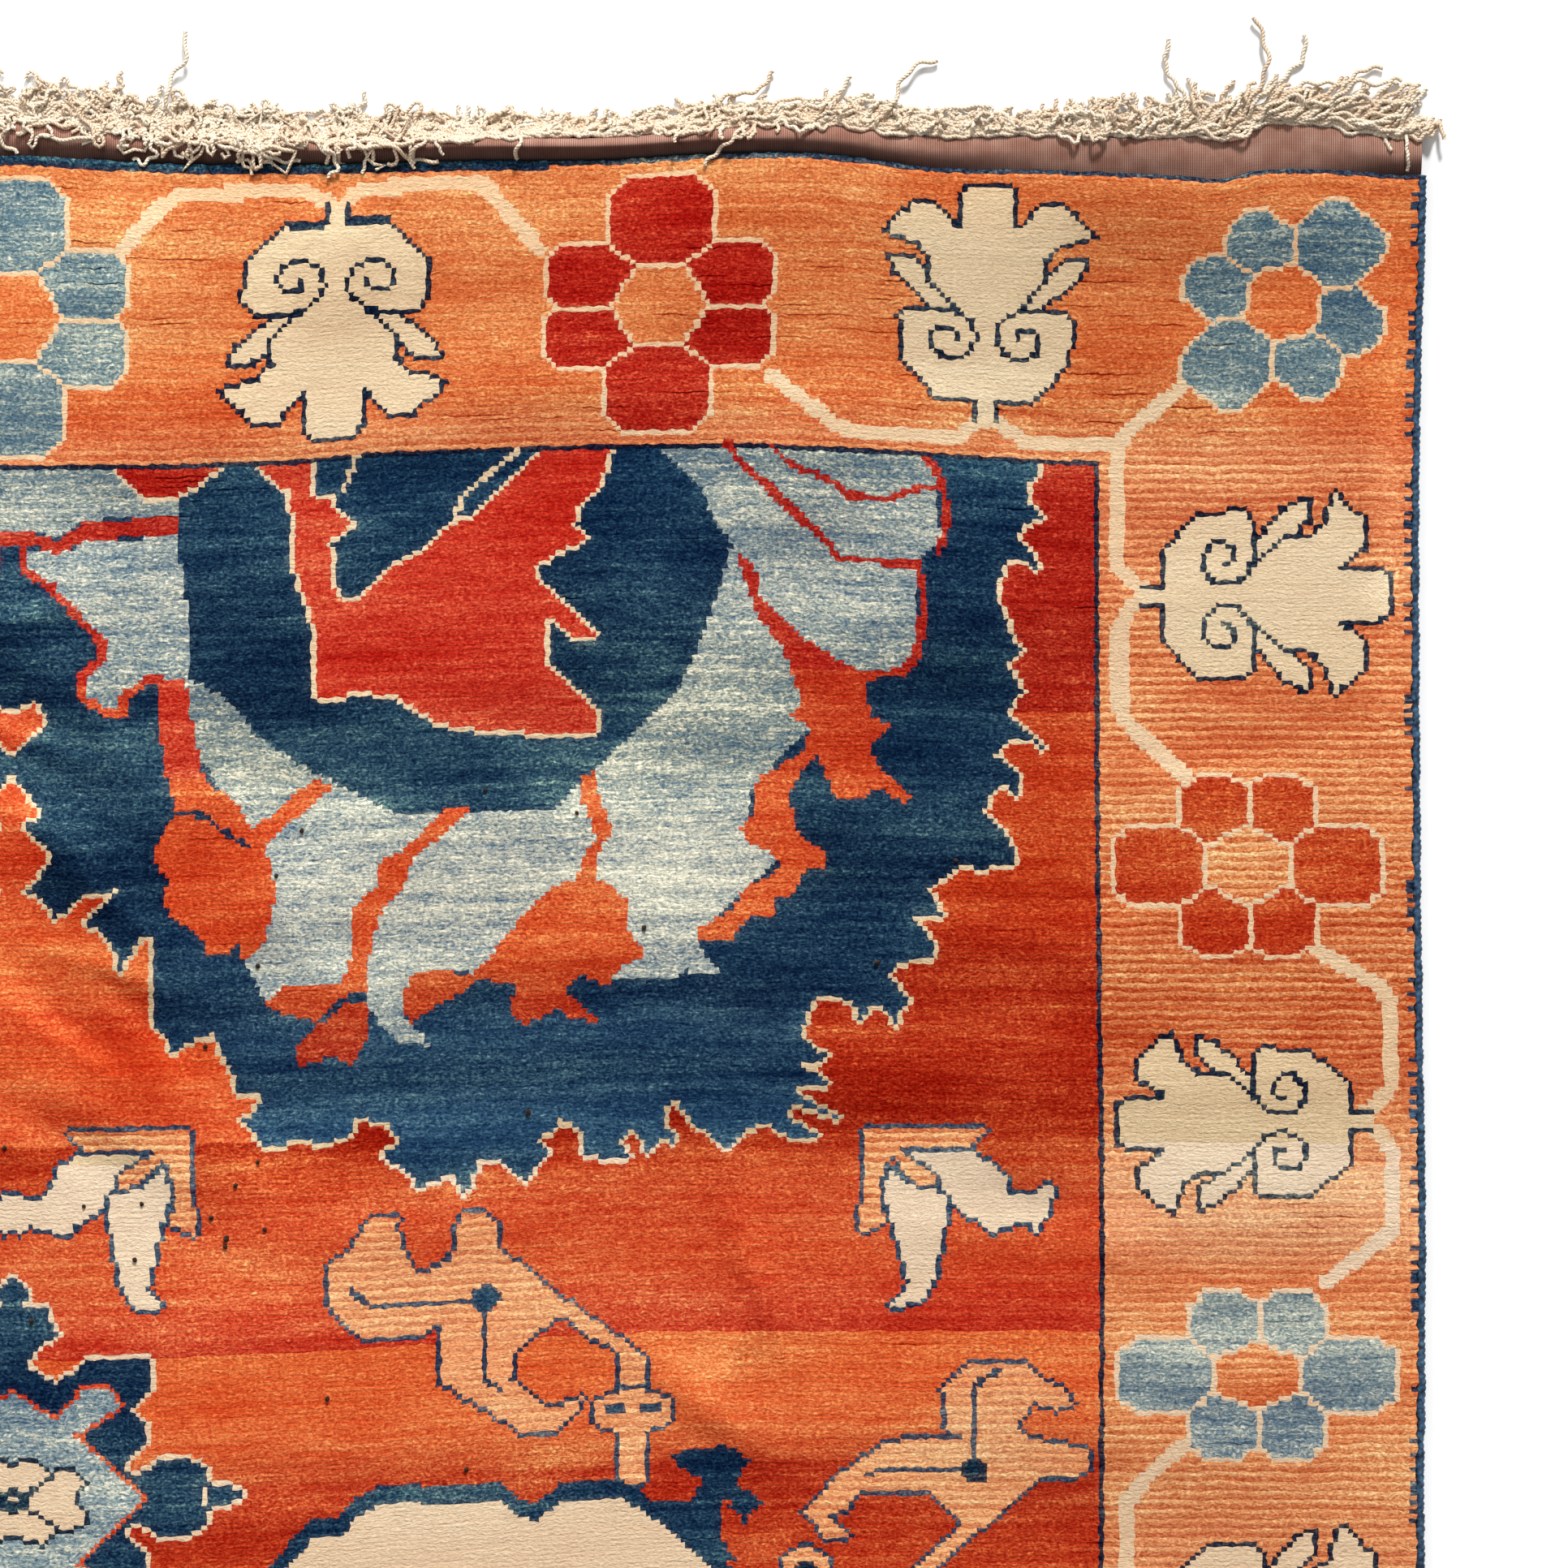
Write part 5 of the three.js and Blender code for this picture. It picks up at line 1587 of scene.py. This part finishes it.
def strand_piece(name, kinds):
    """A mesh of twisted strands along many lines. kinds: pairs of lines and their thickness."""
    drawn = bpy.data.curves.new(name + "_lines", "CURVE")
    drawn.dimensions = "3D"
    for lines, thickness in kinds:
        taper = np.interp(np.linspace(0, 1, lines.shape[1]), TAPER["at"], TAPER["thickness"])
        for line in lines:
            spline = drawn.splines.new("POLY")
            spline.points.add(len(line) - 1)
            spline.points.foreach_set("co", np.concatenate([line * MM, np.ones((len(line), 1))], 1).ravel())
            spline.points.foreach_set("radius", taper * thickness)
    holder = bpy.data.objects.new(name + "_lines", drawn)
    bpy.context.scene.collection.objects.link(holder)
    modifier = holder.modifiers.new("strands", "NODES")
    modifier.node_group = twisted_strands
    for item in twisted_strands.interface.items_tree:
        if item.in_out == "INPUT" and item.name == "Cotton":
            modifier[item.identifier] = fringe_cotton
    made = bpy.data.meshes.new_from_object(holder.evaluated_get(bpy.context.evaluated_depsgraph_get()))
    bpy.data.objects.remove(holder)
    piece = bpy.data.objects.new(name, made)
    bpy.context.scene.collection.objects.link(piece)
    return piece


FRINGE_INSET = 3
HALVES = {"left": (-BAND_HALF_WIDTH + FRINGE_INSET, 0), "right": (0, BAND_HALF_WIDTH - FRINGE_INSET)}
for carpet_end in carpet_ends:
    x = np.linspace(-BAND_HALF_WIDTH, BAND_HALF_WIDTH, HEADING_RINGS)
    middle = np.stack([x, carpet_end.heading_y(x) + HEADING_WIDTH / 2,
                       carpet_end.lip(x) + HEADING_HEIGHT / 2], -1) * (carpet_end.turn, carpet_end.turn, 1)
    braid = 1 - BRAID["depth"] * abs(np.sin(np.pi * x / BRAID["pitch"]))[:, None] + np.zeros(HEADING_SIDES)
    middle[:, 1] += BRAID["sway"] * np.sin(2 * np.pi * x / (2 * BRAID["pitch"]))
    heading = cord_piece("fringe_heading_" + carpet_end.name, middle, HEADING_WIDTH / 2 * braid,
                         HEADING_HEIGHT / 2 * braid, [fringe_cotton], HEADING_SIDES)
    notes = {"strand_tone": 0.75 + 0.25 * np.sin(2 * np.pi * x / BRAID["pitch"]), "yarn_run": x * MM}
    for label, values in notes.items():
        layer = heading.data.attributes.new(label, "FLOAT", "POINT")
        layer.data.foreach_set("value", np.repeat(values, HEADING_SIDES))
    angles = np.tile(np.arange(HEADING_SIDES) * 2 * np.pi / HEADING_SIDES, HEADING_RINGS)
    outward = heading.data.attributes.new("yarn_around", "FLOAT_VECTOR", "POINT")
    outward.data.foreach_set("vector", np.stack([np.cos(angles), np.sin(angles), 0 * angles], -1).ravel())
    fringe_pieces = [heading]
    for seed, (half, (low_x, high_x)) in enumerate(HALVES.items()):
        number = 10 * seed + carpet_end.turn + 5
        kinds = [(strand_lines(carpet_end, low_x, high_x, STRAND_POINTS[carpet_end.name], number), 1),
                 (strand_lines(carpet_end, low_x, high_x, SHORT["points"], number + 50, True),
                  SHORT["thickness"])]
        fringe_pieces.append(strand_piece("fringe_{}_{}".format(carpet_end.name, half), kinds))
    for piece in fringe_pieces:
        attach(piece, "root")
        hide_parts("fringe_" + carpet_end.name)

# Burrs
# Small dark burrs and bits of chaff that have caught in the pile. They are plant matter, about 4 mm
# across, and lie half sunk between the tufts.
BURRS = [
    (408, 946), (250, 911), (228, 872), (212, 794), (487, 926), (545, 827), (814, 885), (746, 797),
    (167, 725), (445, 668), (-6, 637), (212, 625), (193, 605), (62, 587), (112, 589), (172, 577),
    (218, 567), (185, 559), (184, 552), (106, 541), (17, 488), (272, 421), (392, 360), (-520, 410),
    (-180, -320), (610, -540),
]
BURR_RADIUS = 2.1
BURR_SIDES = 7
BURR_RINGS = 5
BURR_SIZES = (0.75, 1.2)
BURR_SPIKES = (0.75, 1.35)
burr_husk, tree, shader = new_material("burr_husk", Roughness=0.8, Specular_IOR_Level=0.2)
speck = noise(node(tree, "ShaderNodeTexCoord").outputs["Object"], 900.0)
tree.links.new(mixed("MIX", speck, wool(30, 18, 14), wool(74, 52, 40)), shader.inputs["Base Color"])
burr_vertices, burr_faces = [], []
for x, y in BURRS:
    radius = BURR_RADIUS * scatter.uniform(*BURR_SIZES)
    middle = np.array([x, y, PILE_THICKNESS + float(swell(FOLDS + CREASES, "height", x, y)) + 0.5 * radius])
    rise = np.linspace(-0.97, 0.97, BURR_RINGS)[:, None]
    angles = np.arange(BURR_SIDES)[None] * 2 * np.pi / BURR_SIDES + rise
    spikes = radius * scatter.uniform(*BURR_SPIKES, (BURR_RINGS, BURR_SIDES))
    flat = np.sqrt(1 - rise ** 2)
    ring = np.stack([flat * np.cos(angles), flat * np.sin(angles), rise + 0 * angles], -1) * spikes[..., None]
    vertices, faces = closed_tube(ring + middle)
    shift = sum(len(burr) for burr in burr_vertices)
    burr_vertices.append(vertices)
    burr_faces += [[corner + shift for corner in face] for face in faces]
burrs = new_piece("burrs", (np.concatenate(burr_vertices) * MM).tolist(), burr_faces, [burr_husk])
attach(burrs, "root")
